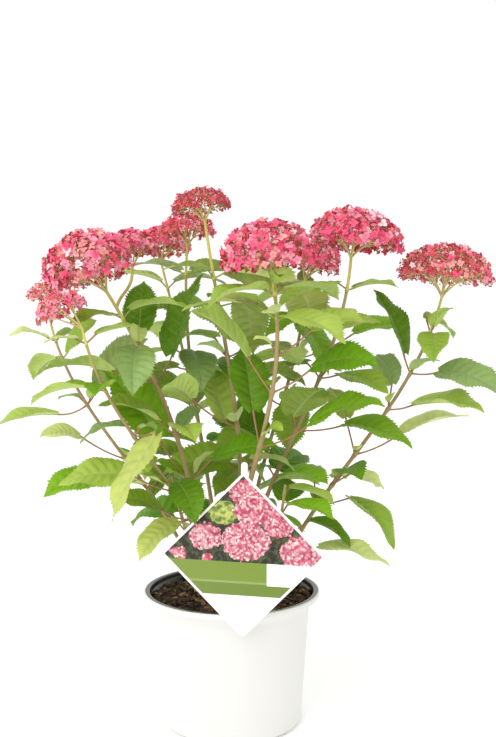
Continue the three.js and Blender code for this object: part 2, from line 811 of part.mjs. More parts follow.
add("pot", geometryOf(manifold(potGeometry())), POT_PLASTIC);
add("compost", compostGeometry(), COMPOST);
add("label_card", geometryOf(manifold(cardGeometry())), CARD);
add("label_stake", geometryOf(manifold(stakeGeometry(0))), STAKE);

const stems = [...CANES, ...SHOOTS];
const curves = stems.map(caneCurve);
const forkCane = stems.findIndex((stem) => stem.name === FORK.cane);
const forkFoot = curves[forkCane].getPoint(parameterAt(curves[forkCane], FORK.height));
const forkCurve = bowedCurve(forkFoot, FORK.lean, vector(...FORK.tip), FORK.tipLean);
const heads = CANES.map((cane, index) => headFrame(cane.name, curves[index], cane.head));
heads.push(headFrame("fork", forkCurve, FORK.head));

stems.forEach((stem, index) => takeStem(stem.name, curves[index]));
takeStem("fork", forkCurve);
heads.forEach((head) => takeHead(head.name, head));
takeLabel();
const leaves = growLeaves(stems, curves);

const CANE_STEPS = 5;
const UPPER_STEPS = 7;

stems.forEach((stem, index) => {
  const curve = curves[index];
  const length = curve.getLength();
  const split = parameterAt(curve, stem.joints[0][0] - BARE_BELOW_JOINT);
  const top = stem.head ? 1 - STALK_LENGTH / length : 1;
  const upper = limb(curve, split + GAP / length, top, UPPER_STEPS, SIDES, caneRadius);
  const blades = leaves[index].flatMap((leaf) => [petiole(leaf), blade(leaf)]);
  add(`cane_${stem.name}`, geometryOf(manifold(limb(curve, 0, split, CANE_STEPS, SIDES, caneRadius))), BARK);
  add(`leaves_${stem.name}`, geometryOf(fused([upper, ...blades])), LEAF);
});

heads.forEach((head, index) => {
  const draw = randomFrom(900 + index);
  const length = head.curve.getLength();
  const start = head.name === "fork" ? FORK_CLEARANCE : length - STALK_LENGTH + GAP;
  const steps = head.name === "fork" ? 4 : 1;
  const stalk = limb(head.curve, start / length, 1, steps, SIDES, () => STALK_RADIUS);
  const branches = [];
  for (let i = 0; i < BRANCHES; i += 1) branches.push(branch(head, ((i + 0.3) / BRANCHES) * 2 * Math.PI));
  add(`bloom_${head.name}`, geometryOf(fused([dome(head, draw), stalk, ...branches])), BLOSSOM);
});

export default plant;
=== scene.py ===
# A smooth hydrangea in flower, in its white nursery pot, with a diamond plant label on a stake.
# The frame is in metres with +Z up. Sizes below are in millimetres, angles in degrees, and the scales
# of patterns in waves to the metre, or on the label's print in waves to the millimetre.
import json
import math

import bmesh
import bpy
import numpy as np
from mathutils import Matrix, Vector

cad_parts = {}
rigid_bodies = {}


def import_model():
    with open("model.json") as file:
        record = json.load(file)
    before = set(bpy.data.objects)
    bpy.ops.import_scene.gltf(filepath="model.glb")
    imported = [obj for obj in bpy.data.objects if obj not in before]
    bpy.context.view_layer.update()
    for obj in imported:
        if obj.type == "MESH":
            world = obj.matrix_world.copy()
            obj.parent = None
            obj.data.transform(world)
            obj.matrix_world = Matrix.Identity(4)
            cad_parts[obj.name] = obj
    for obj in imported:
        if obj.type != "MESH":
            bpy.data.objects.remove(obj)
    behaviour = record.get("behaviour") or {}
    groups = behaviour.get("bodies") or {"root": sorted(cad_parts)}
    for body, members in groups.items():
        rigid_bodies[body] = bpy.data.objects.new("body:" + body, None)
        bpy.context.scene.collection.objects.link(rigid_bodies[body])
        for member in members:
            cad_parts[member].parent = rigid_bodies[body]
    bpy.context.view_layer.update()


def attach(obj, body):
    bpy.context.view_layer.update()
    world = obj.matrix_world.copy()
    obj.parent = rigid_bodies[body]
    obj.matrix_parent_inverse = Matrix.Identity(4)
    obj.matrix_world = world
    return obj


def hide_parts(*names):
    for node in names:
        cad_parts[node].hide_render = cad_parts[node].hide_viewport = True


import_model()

# The studio: a white sweep under an even white sky, one large soft lamp at the upper left, and the
# camera in front of the plant, as high as its upper leaves and looking down a little.
MM = 0.001
CAMERA_PLACE = (17.6, -1091, 460)
CAMERA_PITCH = 4.09
LENS = 49.97
SENSOR_WIDTH = 36
SKY_STRENGTH = 1.06
LAMP_PLACE = (-1100, -1300, 1700)
LAMP_AIM = (0, 0, 350)
LAMP_SIZE = 2200
LAMP_WATTS = 26
FLOOR_GLOW = 0.1
FLOOR_HALF = 6000
FLOOR_DROP = 0.2

scene = bpy.context.scene
scene.view_settings.view_transform = "Standard"


def srgb(red, green, blue):
    """A colour as it is seen, from 0 to 255, in the linear light that a shader takes."""
    seen = [value / 255 for value in (red, green, blue)]
    return tuple(v / 12.92 if v < 0.04 else ((v + 0.055) / 1.055) ** 2.4 for v in seen) + (1.0,)


def wired(tree, kind, inputs=(), **settings):
    """The outputs of a new node. Each of its inputs takes a value or a link from another output."""
    made = tree.nodes.new(kind)
    for setting, value in settings.items():
        setattr(made, setting, value)
    for socket, value in dict(inputs).items():
        if isinstance(value, bpy.types.NodeSocket):
            tree.links.new(value, made.inputs[socket])
        else:
            made.inputs[socket].default_value = value
    return made.outputs


def mixed(tree, share, first, second):
    """A blend of two colours: the first where the share is 0, and the second where it is 1."""
    return wired(tree, "ShaderNodeMix", {0: share, 6: first, 7: second}, data_type="RGBA")[2]


def surface(name, seen, roughness, patch=25, shade=0.9, grain=900, relief=0.05, stretch=(1, 1, 1), **fixed):
    """A finish whose colour and gloss vary in patches, with a fine grain that stands up by relief."""
    material = bpy.data.materials.new(name)
    material.use_nodes = True
    tree = material.node_tree
    skin = tree.nodes["Principled BSDF"].inputs
    for socket, value in fixed.items():
        skin[socket.replace("_", " ")].default_value = value
    place = wired(tree, "ShaderNodeTexCoord")["Object"]
    at = wired(tree, "ShaderNodeMapping", {"Vector": place, "Scale": stretch})["Vector"]
    patches = wired(tree, "ShaderNodeTexNoise", {"Vector": at, "Scale": patch, "Detail": 3})["Fac"]
    colour = srgb(*seen)[:3]
    darker = (*(channel * shade for channel in colour), 1)
    paler = (*(min(1, channel * (2 - shade)) for channel in colour), 1)
    span = {"To Min": max(0.02, roughness - 0.1), "To Max": min(1, roughness + 0.1)}
    gloss = wired(tree, "ShaderNodeMapRange", {"Value": patches, **span})["Result"]
    grains = wired(tree, "ShaderNodeTexNoise", {"Vector": at, "Scale": grain})["Fac"]
    bump = wired(tree, "ShaderNodeBump", {"Height": grains, "Distance": relief * MM})["Normal"]
    tree.links.new(mixed(tree, patches, darker, paler), skin["Base Color"])
    tree.links.new(gloss, skin["Roughness"])
    tree.links.new(bump, skin["Normal"])
    return material


def mesh_from(name, points, faces, materials, kinds=None, smooth_below=60):
    """A mesh from points in millimetres, smooth where its faces meet at less than an angle."""
    mesh = bpy.data.meshes.new(name)
    mesh.from_pydata((np.asarray(points, float) * MM).tolist(), [], faces)
    for material in materials:
        mesh.materials.append(material)
    if kinds is not None:
        mesh.polygons.foreach_set("material_index", np.asarray(kinds, np.int32))
    mesh.shade_smooth()
    mesh.set_sharp_from_angle(angle=math.radians(smooth_below))
    mesh.update()
    return mesh


def shown(name, mesh):
    """A new object of the scene."""
    made = bpy.data.objects.new(name, mesh)
    scene.collection.objects.link(made)
    return made


camera = bpy.data.objects.new("camera", bpy.data.cameras.new("camera"))
camera.location = Vector(CAMERA_PLACE) * MM
camera.rotation_euler = (math.radians(90 - CAMERA_PITCH), 0, 0)
camera.data.lens = LENS
camera.data.sensor_width = SENSOR_WIDTH
scene.collection.objects.link(camera)
scene.camera = camera

sky = bpy.data.worlds.new("white sky")
sky.use_nodes = True
sky.node_tree.nodes["Background"].inputs["Color"].default_value = (1, 1, 1, 1)
sky.node_tree.nodes["Background"].inputs["Strength"].default_value = SKY_STRENGTH
scene.world = sky

lamp = bpy.data.objects.new("soft lamp", bpy.data.lights.new("soft lamp", "AREA"))
lamp.data.size = LAMP_SIZE * MM
lamp.data.energy = LAMP_WATTS
lamp.location = Vector(LAMP_PLACE) * MM
lamp.rotation_euler = (Vector(LAMP_AIM) - Vector(LAMP_PLACE)).to_track_quat("-Z", "Y").to_euler()
scene.collection.objects.link(lamp)

corners = [(x * FLOOR_HALF, y * FLOOR_HALF, -FLOOR_DROP) for x, y in ((-1, -1), (1, -1), (1, 1), (-1, 1))]
paper = surface(
    "white paper", (252, 252, 252), 0.8, patch=3, shade=0.99, grain=400, relief=0.02,
    Emission_Color=(1, 1, 1, 1), Emission_Strength=FLOOR_GLOW,
)
floor = shown("floor", mesh_from("floor", corners, [(0, 1, 2, 3)], [paper]))


# The pot: blow-moulded in two layers, white outside and dark grey inside. Its wall widens to a
# shoulder, steps out under a rolled lip, and ends in a small rounded foot.
POT_HEIGHT = 143
RIM_RADIUS = 95
LIP_WIDTH = 6.5
LIP_HEIGHT = 6
SHOULDER_DROP = 9
BASE_RADIUS = 75.5
WALL_TOP_RADIUS = 84
WALL = 1.8
POT_FLOOR = 2.2
POT_SEGMENTS = 168
POT_ROUNDING = 1.6
LIP_FOOT = POT_HEIGHT - LIP_HEIGHT
SHOULDER = LIP_FOOT - SHOULDER_DROP
LIP_INNER = RIM_RADIUS - LIP_WIDTH


def inner_radius(height):
    return BASE_RADIUS + (WALL_TOP_RADIUS - BASE_RADIUS) * height / SHOULDER - WALL


def bezier(corners, t):
    """Points along the Bezier curve through its corner points."""
    t = np.atleast_1d(np.asarray(t, float))[:, None]
    points = [np.asarray(corner, float)[None] for corner in corners]
    while len(points) > 1:
        points = [(1 - t) * a + t * b for a, b in zip(points, points[1:])]
    return points[0]


def rounded(profile, radius, steps=5):
    """The profile with each inner corner turned into a short curve that starts radius before it."""
    profile = np.array(profile, float)
    soft = [profile[0]]
    for before, corner, after in zip(profile, profile[1:], profile[2:]):
        back, on = before - corner, after - corner
        start = corner + back * min(0.45, radius / np.linalg.norm(back))
        end = corner + on * min(0.45, radius / np.linalg.norm(on))
        soft.extend(bezier((start, corner, end), np.linspace(0, 1, steps)))
    return np.array([*soft, profile[-1]])


def turned(profile, segments):
    """The points and faces of a profile of (radius, height) spun round Z, from the axis to the axis."""
    points = [(0, 0, profile[0][1]), (0, 0, profile[-1][1])]
    for radius, height in profile[1:-1]:
        angles = np.arange(segments) * 2 * np.pi / segments
        points += [(radius * math.cos(a), radius * math.sin(a), height) for a in angles]
    faces = []
    rings = len(profile) - 2
    for i in range(segments):
        j = (i + 1) % segments
        faces.append((0, 2 + j, 2 + i))
        for ring in range(rings - 1):
            a = 2 + ring * segments
            faces.append((a + i, a + j, a + j + segments, a + i + segments))
        a = 2 + (rings - 1) * segments
        faces.append((1, a + i, a + j))
    return np.array(points, float), faces


def riding(mesh, slot, *nodes):
    """A finished piece of the potted plant, named as its mesh is, which stands for the nodes it names."""
    made = shown(mesh.name, mesh)
    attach(made, "root")
    if nodes:
        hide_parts(*nodes)


pot_profile = rounded([
    (0, 0),
    (BASE_RADIUS - 3, 0),
    (BASE_RADIUS, 3),
    (WALL_TOP_RADIUS, SHOULDER),
    (LIP_INNER + WALL, LIP_FOOT),
    (RIM_RADIUS, LIP_FOOT),
    (RIM_RADIUS, POT_HEIGHT),
    (LIP_INNER, POT_HEIGHT),
    (LIP_INNER, LIP_FOOT + 1),
    (inner_radius(SHOULDER), SHOULDER + 1),
    (inner_radius(POT_FLOOR), POT_FLOOR),
    (0, POT_FLOOR),
], POT_ROUNDING)
points, faces = turned(pot_profile, POT_SEGMENTS)
middles = np.array([points[list(face)].mean(axis=0) for face in faces])
wall_heights = (0, SHOULDER, LIP_FOOT, POT_HEIGHT)
wall_middle = (BASE_RADIUS - 1, WALL_TOP_RADIUS - 1, LIP_INNER, RIM_RADIUS - 1.5)
inside = np.hypot(middles[:, 0], middles[:, 1]) < np.interp(middles[:, 2], wall_heights, wall_middle)
inside &= middles[:, 2] > POT_FLOOR - 0.1
skins = [
    surface("white pot plastic", (221, 220, 216), 0.38, patch=9, shade=0.985, grain=1400, relief=0.02),
    surface("dark inner plastic", (58, 58, 56), 0.22, patch=12, grain=1400, relief=0.03),
]
riding(mesh_from("nursery_pot", points, faces, skins, inside.astype(int), 50), "pot_plastic", "pot")


# The compost: composted bark with a little straw, heaped loosely to just under the lip. A bumpy bed
# fills the pot, and chips, straws and crumbs of green lie over it.
COMPOST_TOP = 137
BED_RINGS = 44
BED_SEGMENTS = 120
BED_DROP = 2.6
BED_TOP = COMPOST_TOP - BED_DROP
BED_EDGE = inner_radius(SHOULDER) + 3.4
BED_GAP = 0.5
BED_LIFT = 0.3
BED_RELIEF = 0.8
BED_WAVES = 40
LONGEST_WAVE = 30
CHIPS = 1500
BROWN_CHIPS = 330
CHIP_SIZES = (3, 12)
CHIP_PILE = 3.2
STRAWS = 70
STRAW_SIZES = (0.5, 1.3)
GREEN_CRUMBS = 46
CRUMB_SIZES = (1.5, 5)
TOP_PILE = 4


def random_from(seed):
    """A stream of numbers from 0 to 1 that is the same on every run."""
    state = (seed * 7919 + 104729) % 2147483647

    def draw():
        nonlocal state
        state = state * 16807 % 2147483647
        return state / 2147483647

    draw()
    draw()
    return draw


def bumps(x, y, draw, waves, longest):
    """A smooth random relief between about -1 and 1 over a plane, from a sum of waves."""
    height = np.zeros_like(x)
    for _ in range(waves):
        angle, size, shift = draw() * 2 * math.pi, longest * (0.15 + 0.85 * draw()), draw() * 2 * math.pi
        height += np.sin((x * math.cos(angle) + y * math.sin(angle)) * 2 * math.pi / size + shift)
    return height / math.sqrt(waves)


def new_tree(name, **inputs):
    """A Geometry Nodes tree with these inputs and one geometry output, and the inputs' own sockets."""
    tree = bpy.data.node_groups.new(name, "GeometryNodeTree")
    for socket, kind in inputs.items():
        tree.interface.new_socket(socket, in_out="INPUT", socket_type="NodeSocket" + kind)
    tree.interface.new_socket("Geometry", in_out="OUTPUT", socket_type="NodeSocketGeometry")
    return tree, wired(tree, "NodeGroupInput")


def ended(tree, geometry, finish):
    """The tree, ended by making its instances real and setting their finish."""
    real = wired(tree, "GeometryNodeRealizeInstances", {"Geometry": geometry})["Geometry"]
    done = wired(tree, "GeometryNodeSetMaterial", {"Geometry": real, "Material": finish})["Geometry"]
    wired(tree, "NodeGroupOutput", {"Geometry": done})
    return tree


def set_out_tree():
    """Geometry Nodes that set shapes out on points, each with its own turn, size and kind."""
    tree, given = new_tree("set out on points", Points="Geometry", Shapes="Collection", Finish="Material")
    kit = {"Collection": given["Shapes"], "Separate Children": True, "Reset Children": True}
    shapes = wired(tree, "GeometryNodeCollectionInfo", kit)["Instances"]
    kind, turn, size = (
        wired(tree, "GeometryNodeInputNamedAttribute", {"Name": word}, data_type=data)["Attribute"]
        for word, data in (("kind", "INT"), ("turn", "FLOAT_VECTOR"), ("size", "FLOAT"))
    )
    placed = wired(tree, "GeometryNodeInstanceOnPoints", {
        "Points": given["Points"], "Instance": shapes, "Pick Instance": True, "Instance Index": kind,
        "Rotation": turn, "Scale": size,
    })
    return ended(tree, placed["Instances"], given["Finish"])


def plain_mesh(name, source, tree, inputs):
    """The mesh that a tree makes from a source mesh, with the tree's inputs set by name."""
    holder = shown(name, source)
    modifier = holder.modifiers.new(tree.name, "NODES")
    modifier.node_group = tree
    for word, value in inputs.items():
        modifier[tree.interface.items_tree[word].identifier] = value
    holder.update_tag()
    depsgraph = bpy.context.evaluated_depsgraph_get()
    mesh = bpy.data.meshes.new_from_object(holder.evaluated_get(depsgraph), depsgraph=depsgraph)
    mesh.name = name
    holder.modifiers.clear()
    bpy.data.objects.remove(holder)
    return mesh


SET_OUT = set_out_tree()


def set_out(name, shapes, places, finish, slot, *nodes):
    """A piece of many small shapes. Each place is a point, a direction for the shape's +Z, a spin
    in radians, a size, and which of the shapes stands there."""
    kit = bpy.data.collections.new(name + " shapes")
    scene.collection.children.link(kit)
    for number, shape in enumerate(shapes):
        kit.objects.link(bpy.data.objects.new(f"{name} shape {number}", shape))
    source = bpy.data.meshes.new(name + " points")
    source.from_pydata([tuple(float(c) * MM for c in place[0]) for place in places], [], [])
    turns = []
    for _, towards, spin, _, _ in places:
        turn = Vector(towards).to_track_quat("Z", "Y").to_matrix()
        turns += [*(turn @ Matrix.Rotation(spin, 3, "Z")).to_euler()]
    source.attributes.new("turn", "FLOAT_VECTOR", "POINT").data.foreach_set("vector", turns)
    source.attributes.new("size", "FLOAT", "POINT").data.foreach_set("value", [p[3] for p in places])
    source.attributes.new("kind", "INT", "POINT").data.foreach_set("value", [p[4] for p in places])
    mesh = plain_mesh(name, source, SET_OUT, {"Shapes": kit, "Finish": finish})
    for made in list(kit.objects):
        bpy.data.objects.remove(made)
    bpy.data.collections.remove(kit)
    riding(mesh, slot, *nodes)


def lump(name, size, draw, detail=1, rough=0.25):
    """A small closed lump, as long, wide and thick as size says, with an uneven skin."""
    shape = bmesh.new()
    bmesh.ops.create_icosphere(shape, subdivisions=detail, radius=0.5)
    for vertex in shape.verts:
        uneven = 1 + rough * (2 * draw() - 1)
        vertex.co = Vector(c * s * MM * uneven for c, s in zip(vertex.co, size))
    mesh = bpy.data.meshes.new(name)
    shape.to_mesh(mesh)
    shape.free()
    return mesh


draw = random_from(11)
bed_profile = [
    (0, POT_FLOOR + BED_LIFT),
    (inner_radius(POT_FLOOR) - BED_GAP, POT_FLOOR + BED_LIFT),
    (inner_radius(SHOULDER) - BED_GAP, SHOULDER + 1),
    *((BED_EDGE * (1 - i / BED_RINGS), BED_TOP) for i in range(BED_RINGS)),
    (0, BED_TOP),
]
points, faces = turned(bed_profile, BED_SEGMENTS)
top = points[:, 2] > SHOULDER + 2
points[top, 2] += BED_RELIEF * bumps(points[top, 0], points[top, 1], draw, BED_WAVES, LONGEST_WAVE)
compost = surface("damp bark compost", (50, 36, 24), 0.9, patch=160, shade=0.55, grain=700, relief=0.6)
riding(mesh_from("compost_bed", points, faces, [compost], None, 80), "compost", "compost")


def strewn(count, kinds, sizes, pile, draw):
    """Places all over the compost, more of them towards the rim, each lying nearly flat."""
    places = []
    for _ in range(count):
        radius, angle = BED_EDGE * draw() ** 0.5 * 0.985, draw() * 2 * math.pi
        lean = 0.9 * (draw() - 0.5), 0.9 * (draw() - 0.5), 1
        at = radius * math.cos(angle), radius * math.sin(angle), BED_TOP + pile * draw()
        size = sizes[0] + (sizes[1] - sizes[0]) * draw() ** 2
        places.append((at, lean, draw() * 2 * math.pi, size, int(draw() * kinds)))
    return places


chips = [lump(f"bark chip {i}", (1, 0.5 + 0.3 * draw(), 0.3 + 0.25 * draw()), draw) for i in range(5)]
straws = [lump(f"straw {i}", (9, 0.5 + 0.3 * i, 0.35), draw, 1, 0.1) for i in range(2)]
crumbs = [lump(f"crumb {i}", (1, 0.8, 0.25), draw) for i in range(2)]
chip_places = strewn(CHIPS, len(chips), CHIP_SIZES, CHIP_PILE, draw)
straw_places = strewn(STRAWS, len(straws), STRAW_SIZES, TOP_PILE, draw)
crumb_places = strewn(GREEN_CRUMBS, len(crumbs), CRUMB_SIZES, TOP_PILE, draw)
chip_look = dict(roughness=0.85, patch=300, grain=1500, relief=0.3)
fine_look = dict(roughness=0.8, patch=200)
for name, shapes, places, colour, look in (
    ("bark_chips_dark", chips, chip_places[BROWN_CHIPS:], (62, 42, 28), dict(chip_look, shade=0.5)),
    ("bark_chips_brown", chips, chip_places[:BROWN_CHIPS], (132, 98, 66), dict(chip_look, shade=0.6)),
    ("compost_straw", straws, straw_places, (172, 146, 98), dict(fine_look, shade=0.75)),
    ("compost_crumbs", crumbs, crumb_places, (128, 148, 52), dict(fine_look, shade=0.7)),
):
    set_out(name, shapes, places, surface(name.replace("_", " "), colour, **look), "compost")


# The plant label: a square of printed plastic card that stands on one corner, with a white border.
# Its print shows pink flower clusters on dark leaves, over a plain green band and a bare panel.
CARD_CENTRE = (12.5, -92.5, 203)
CARD_HALF_DIAGONAL = 82
CARD_CORNER = 4
CARD_THICK = 0.9
CARD_BEVEL = 0.2
CARD_LEAN = 4
CARD_YAW = 6
CARD_BORDER = 2.4
CORNER_STEPS = 6
BAND_TOP = -7
BAND_STRIPE = -27
BAND_BOTTOM = -40
BAND_SLANT = 0.035
PANEL_LEFT = 24
PANEL_BOTTOM = -29
PRINTED_LEAVES = (-20, 42, 16)
PRINTED_CLUSTERS = (
    (3, 62, 17), (12, 46, 22), (34, 32, 18), (60, 3, 24),
    (3, 14, 25), (-38, 18, 17), (-64, 1, 9), (-36, -3, 6),
)

yaw, lean = math.radians(CARD_YAW), math.radians(CARD_LEAN)
CARD_RIGHT = np.array((math.cos(yaw), -math.sin(yaw), 0))
CARD_BACK = np.array((math.sin(yaw) * math.cos(lean), math.cos(yaw) * math.cos(lean), -math.sin(lean)))
CARD_UP = np.cross(CARD_RIGHT, CARD_BACK)


def spun(x, y, angle):
    """A flat point, turned about the origin."""
    return x * math.cos(angle) - y * math.sin(angle), x * math.sin(angle) + y * math.cos(angle)


def diamond(half, corner):
    """A square on its corner with its four corners rounded, as points across and up the card."""
    ends = (half - corner, -corner), (half, 0), (half - corner, corner)
    right_corner = bezier(ends, np.linspace(0, 1, CORNER_STEPS))
    return [spun(x, y, math.radians(90 * quarter)) for quarter in range(4) for x, y in right_corner]


def card_print():
    """The card's front: everything is worked out from the distance across and up it, in millimetres."""
    material = bpy.data.materials.new("label print")
    material.use_nodes = True
    tree = material.node_tree
    skin = tree.nodes["Principled BSDF"].inputs
    skin["Roughness"].default_value = 0.32

    def maths(kind, *values):
        return wired(tree, "ShaderNodeMath", enumerate(values), operation=kind)[0]

    def over(mask, colour, below):
        return mixed(tree, mask, below, colour)

    def ramp(share, *stops):
        node = tree.nodes.new("ShaderNodeValToRGB")
        tree.links.new(share, node.inputs["Fac"])
        elements = node.color_ramp.elements
        while len(elements) < len(stops):
            elements.new(0.5)
        for element, (position, colour) in zip(elements, stops):
            element.position = position
            element.color = srgb(*colour)
        return node.outputs["Color"]

    white = srgb(246, 246, 243)
    place = wired(tree, "ShaderNodeUVMap")["UV"]
    split = wired(tree, "ShaderNodeSeparateXYZ", {0: place})
    x, y = split["X"], split["Y"]
    leafy = wired(tree, "ShaderNodeTexNoise", {"Vector": place, "Scale": 0.16})["Fac"]
    florets = wired(tree, "ShaderNodeTexVoronoi", {"Vector": place, "Scale": 0.46})
    chance = wired(tree, "ShaderNodeSeparateXYZ", {0: florets["Color"]})["X"]
    pinks = ((0, (176, 46, 76)), (0.25, (212, 94, 118)), (0.58, (234, 160, 172)), (0.9, (250, 228, 226)))
    gaps = maths("MULTIPLY", florets["Distance"], 0.62)
    petals = over(gaps, srgb(132, 32, 58), ramp(chance, *pinks))
    sprays = ramp(leafy, (0.4, (92, 112, 44)), (0.6, (188, 196, 96)))
    picture = ramp(leafy, (0.47, (32, 26, 20)), (0.72, (84, 100, 48)))
    ragged = maths("MULTIPLY", florets["Distance"], 1.6)
    uneven = maths("MULTIPLY", leafy, 16)
    for spot in (PRINTED_LEAVES, *PRINTED_CLUSTERS):
        across, height, size = spot
        dx = maths("SUBTRACT", x, across)
        dy = maths("MULTIPLY", maths("SUBTRACT", y, height), 1.25)
        distance = maths("SQRT", maths("ADD", maths("MULTIPLY", dx, dx), maths("MULTIPLY", dy, dy)))
        edge = maths("ADD", maths("ADD", distance, ragged), uneven)
        filling = sprays if spot is PRINTED_LEAVES else petals
        picture = over(maths("LESS_THAN", edge, size + 8), filling, picture)
    level = maths("ADD", y, maths("MULTIPLY", x, BAND_SLANT))
    stripe = maths("LESS_THAN", maths("ABSOLUTE", maths("SUBTRACT", level, BAND_STRIPE)), 1.1)
    band = over(maths("LESS_THAN", level, BAND_STRIPE), srgb(106, 128, 44), srgb(118, 140, 48))
    band = over(stripe, srgb(140, 160, 84), band)
    picture = over(maths("LESS_THAN", level, BAND_TOP), band, picture)
    picture = over(maths("LESS_THAN", level, BAND_BOTTOM), white, picture)
    panel = maths("MULTIPLY", maths("GREATER_THAN", x, PANEL_LEFT), maths("LESS_THAN", level, BAND_TOP))
    panel = maths("MULTIPLY", panel, maths("GREATER_THAN", level, PANEL_BOTTOM))
    picture = over(panel, white, picture)
    from_middle = maths("ADD", maths("ABSOLUTE", x), maths("ABSOLUTE", y))
    border = maths("GREATER_THAN", from_middle, CARD_HALF_DIAGONAL - CARD_BORDER * math.sqrt(2))
    tree.links.new(over(border, white, picture), skin["Base Color"])
    return material


def plate(levels, middle, right, up, front):
    """The points and faces of a flat piece, from its outlines and how far each lies to the front."""
    points = [middle + right * x + up * y + front * depth for outline, depth in levels for x, y in outline]
    count = len(levels[0][0])
    back = len(points) - count
    faces = [tuple(range(count)), tuple(range(back, back + count))[::-1]]
    for start in range(0, back, count):
        for i in range(count):
            a, b = start + i, start + (i + 1) % count
            faces.append((a, a + count, b + count, b))
    return points, faces


outline = diamond(CARD_HALF_DIAGONAL, CARD_CORNER)
inset = diamond(CARD_HALF_DIAGONAL - 2 * CARD_BEVEL, CARD_CORNER)
levels = [(inset, CARD_THICK), (outline, CARD_THICK - CARD_BEVEL), (outline, CARD_BEVEL), (inset, 0)]
points, faces = plate(levels, np.array(CARD_CENTRE), CARD_RIGHT, CARD_UP, -CARD_BACK)
white_card = surface("white card", (246, 246, 243), 0.35, patch=10, shade=0.99, grain=1200, relief=0.01)
mesh = mesh_from("label", points, faces, [card_print(), white_card], [0] + [1] * (len(faces) - 1), 30)
flat = [at for level, _ in levels for at in level]
across_up = mesh.uv_layers.new(name="across and up")
for loop in mesh.loops:
    across_up.data[loop.index].uv = flat[loop.vertex_index]
riding(mesh, "card", "label_card")


# The stake: a flat white plastic strip with a round top and a pointed foot. It stands in the compost
# and leans a little to the front, and the label is fixed across it near its top.
STAKE_WIDTH = 6.5
STAKE_THICK = 1.8
STAKE_TOP = (14, -86.1, 295)
STAKE_LEAN = 5
STAKE_LENGTH = 196
STAKE_ROUND = 10

half = STAKE_WIDTH / 2
outline = [(half * math.cos(a), -half + half * math.sin(a)) for a in np.linspace(0, math.pi, STAKE_ROUND)]
outline += [(-half, -STAKE_LENGTH + STAKE_WIDTH), (0, -STAKE_LENGTH), (half, -STAKE_LENGTH + STAKE_WIDTH)]
inset = [(x * 0.9, y) for x, y in outline]
levels = [(inset, 0.5), (outline, 0.32), (outline, -0.32), (inset, -0.5)]
lean = math.radians(STAKE_LEAN)
stake_right = np.array((1, 0, 0))
stake_up = np.array((0, -math.sin(lean), math.cos(lean)))
stake_front = np.array((0, -math.cos(lean), -math.sin(lean)))
points, faces = plate(levels, np.array(STAKE_TOP), stake_right, stake_up, stake_front * STAKE_THICK)
stake_plastic = surface("white stake plastic", (247, 247, 244), 0.3, patch=12, shade=0.98, relief=0.02)
riding(mesh_from("stake", points, faces, [stake_plastic], None, 30), "stake", "label_stake")


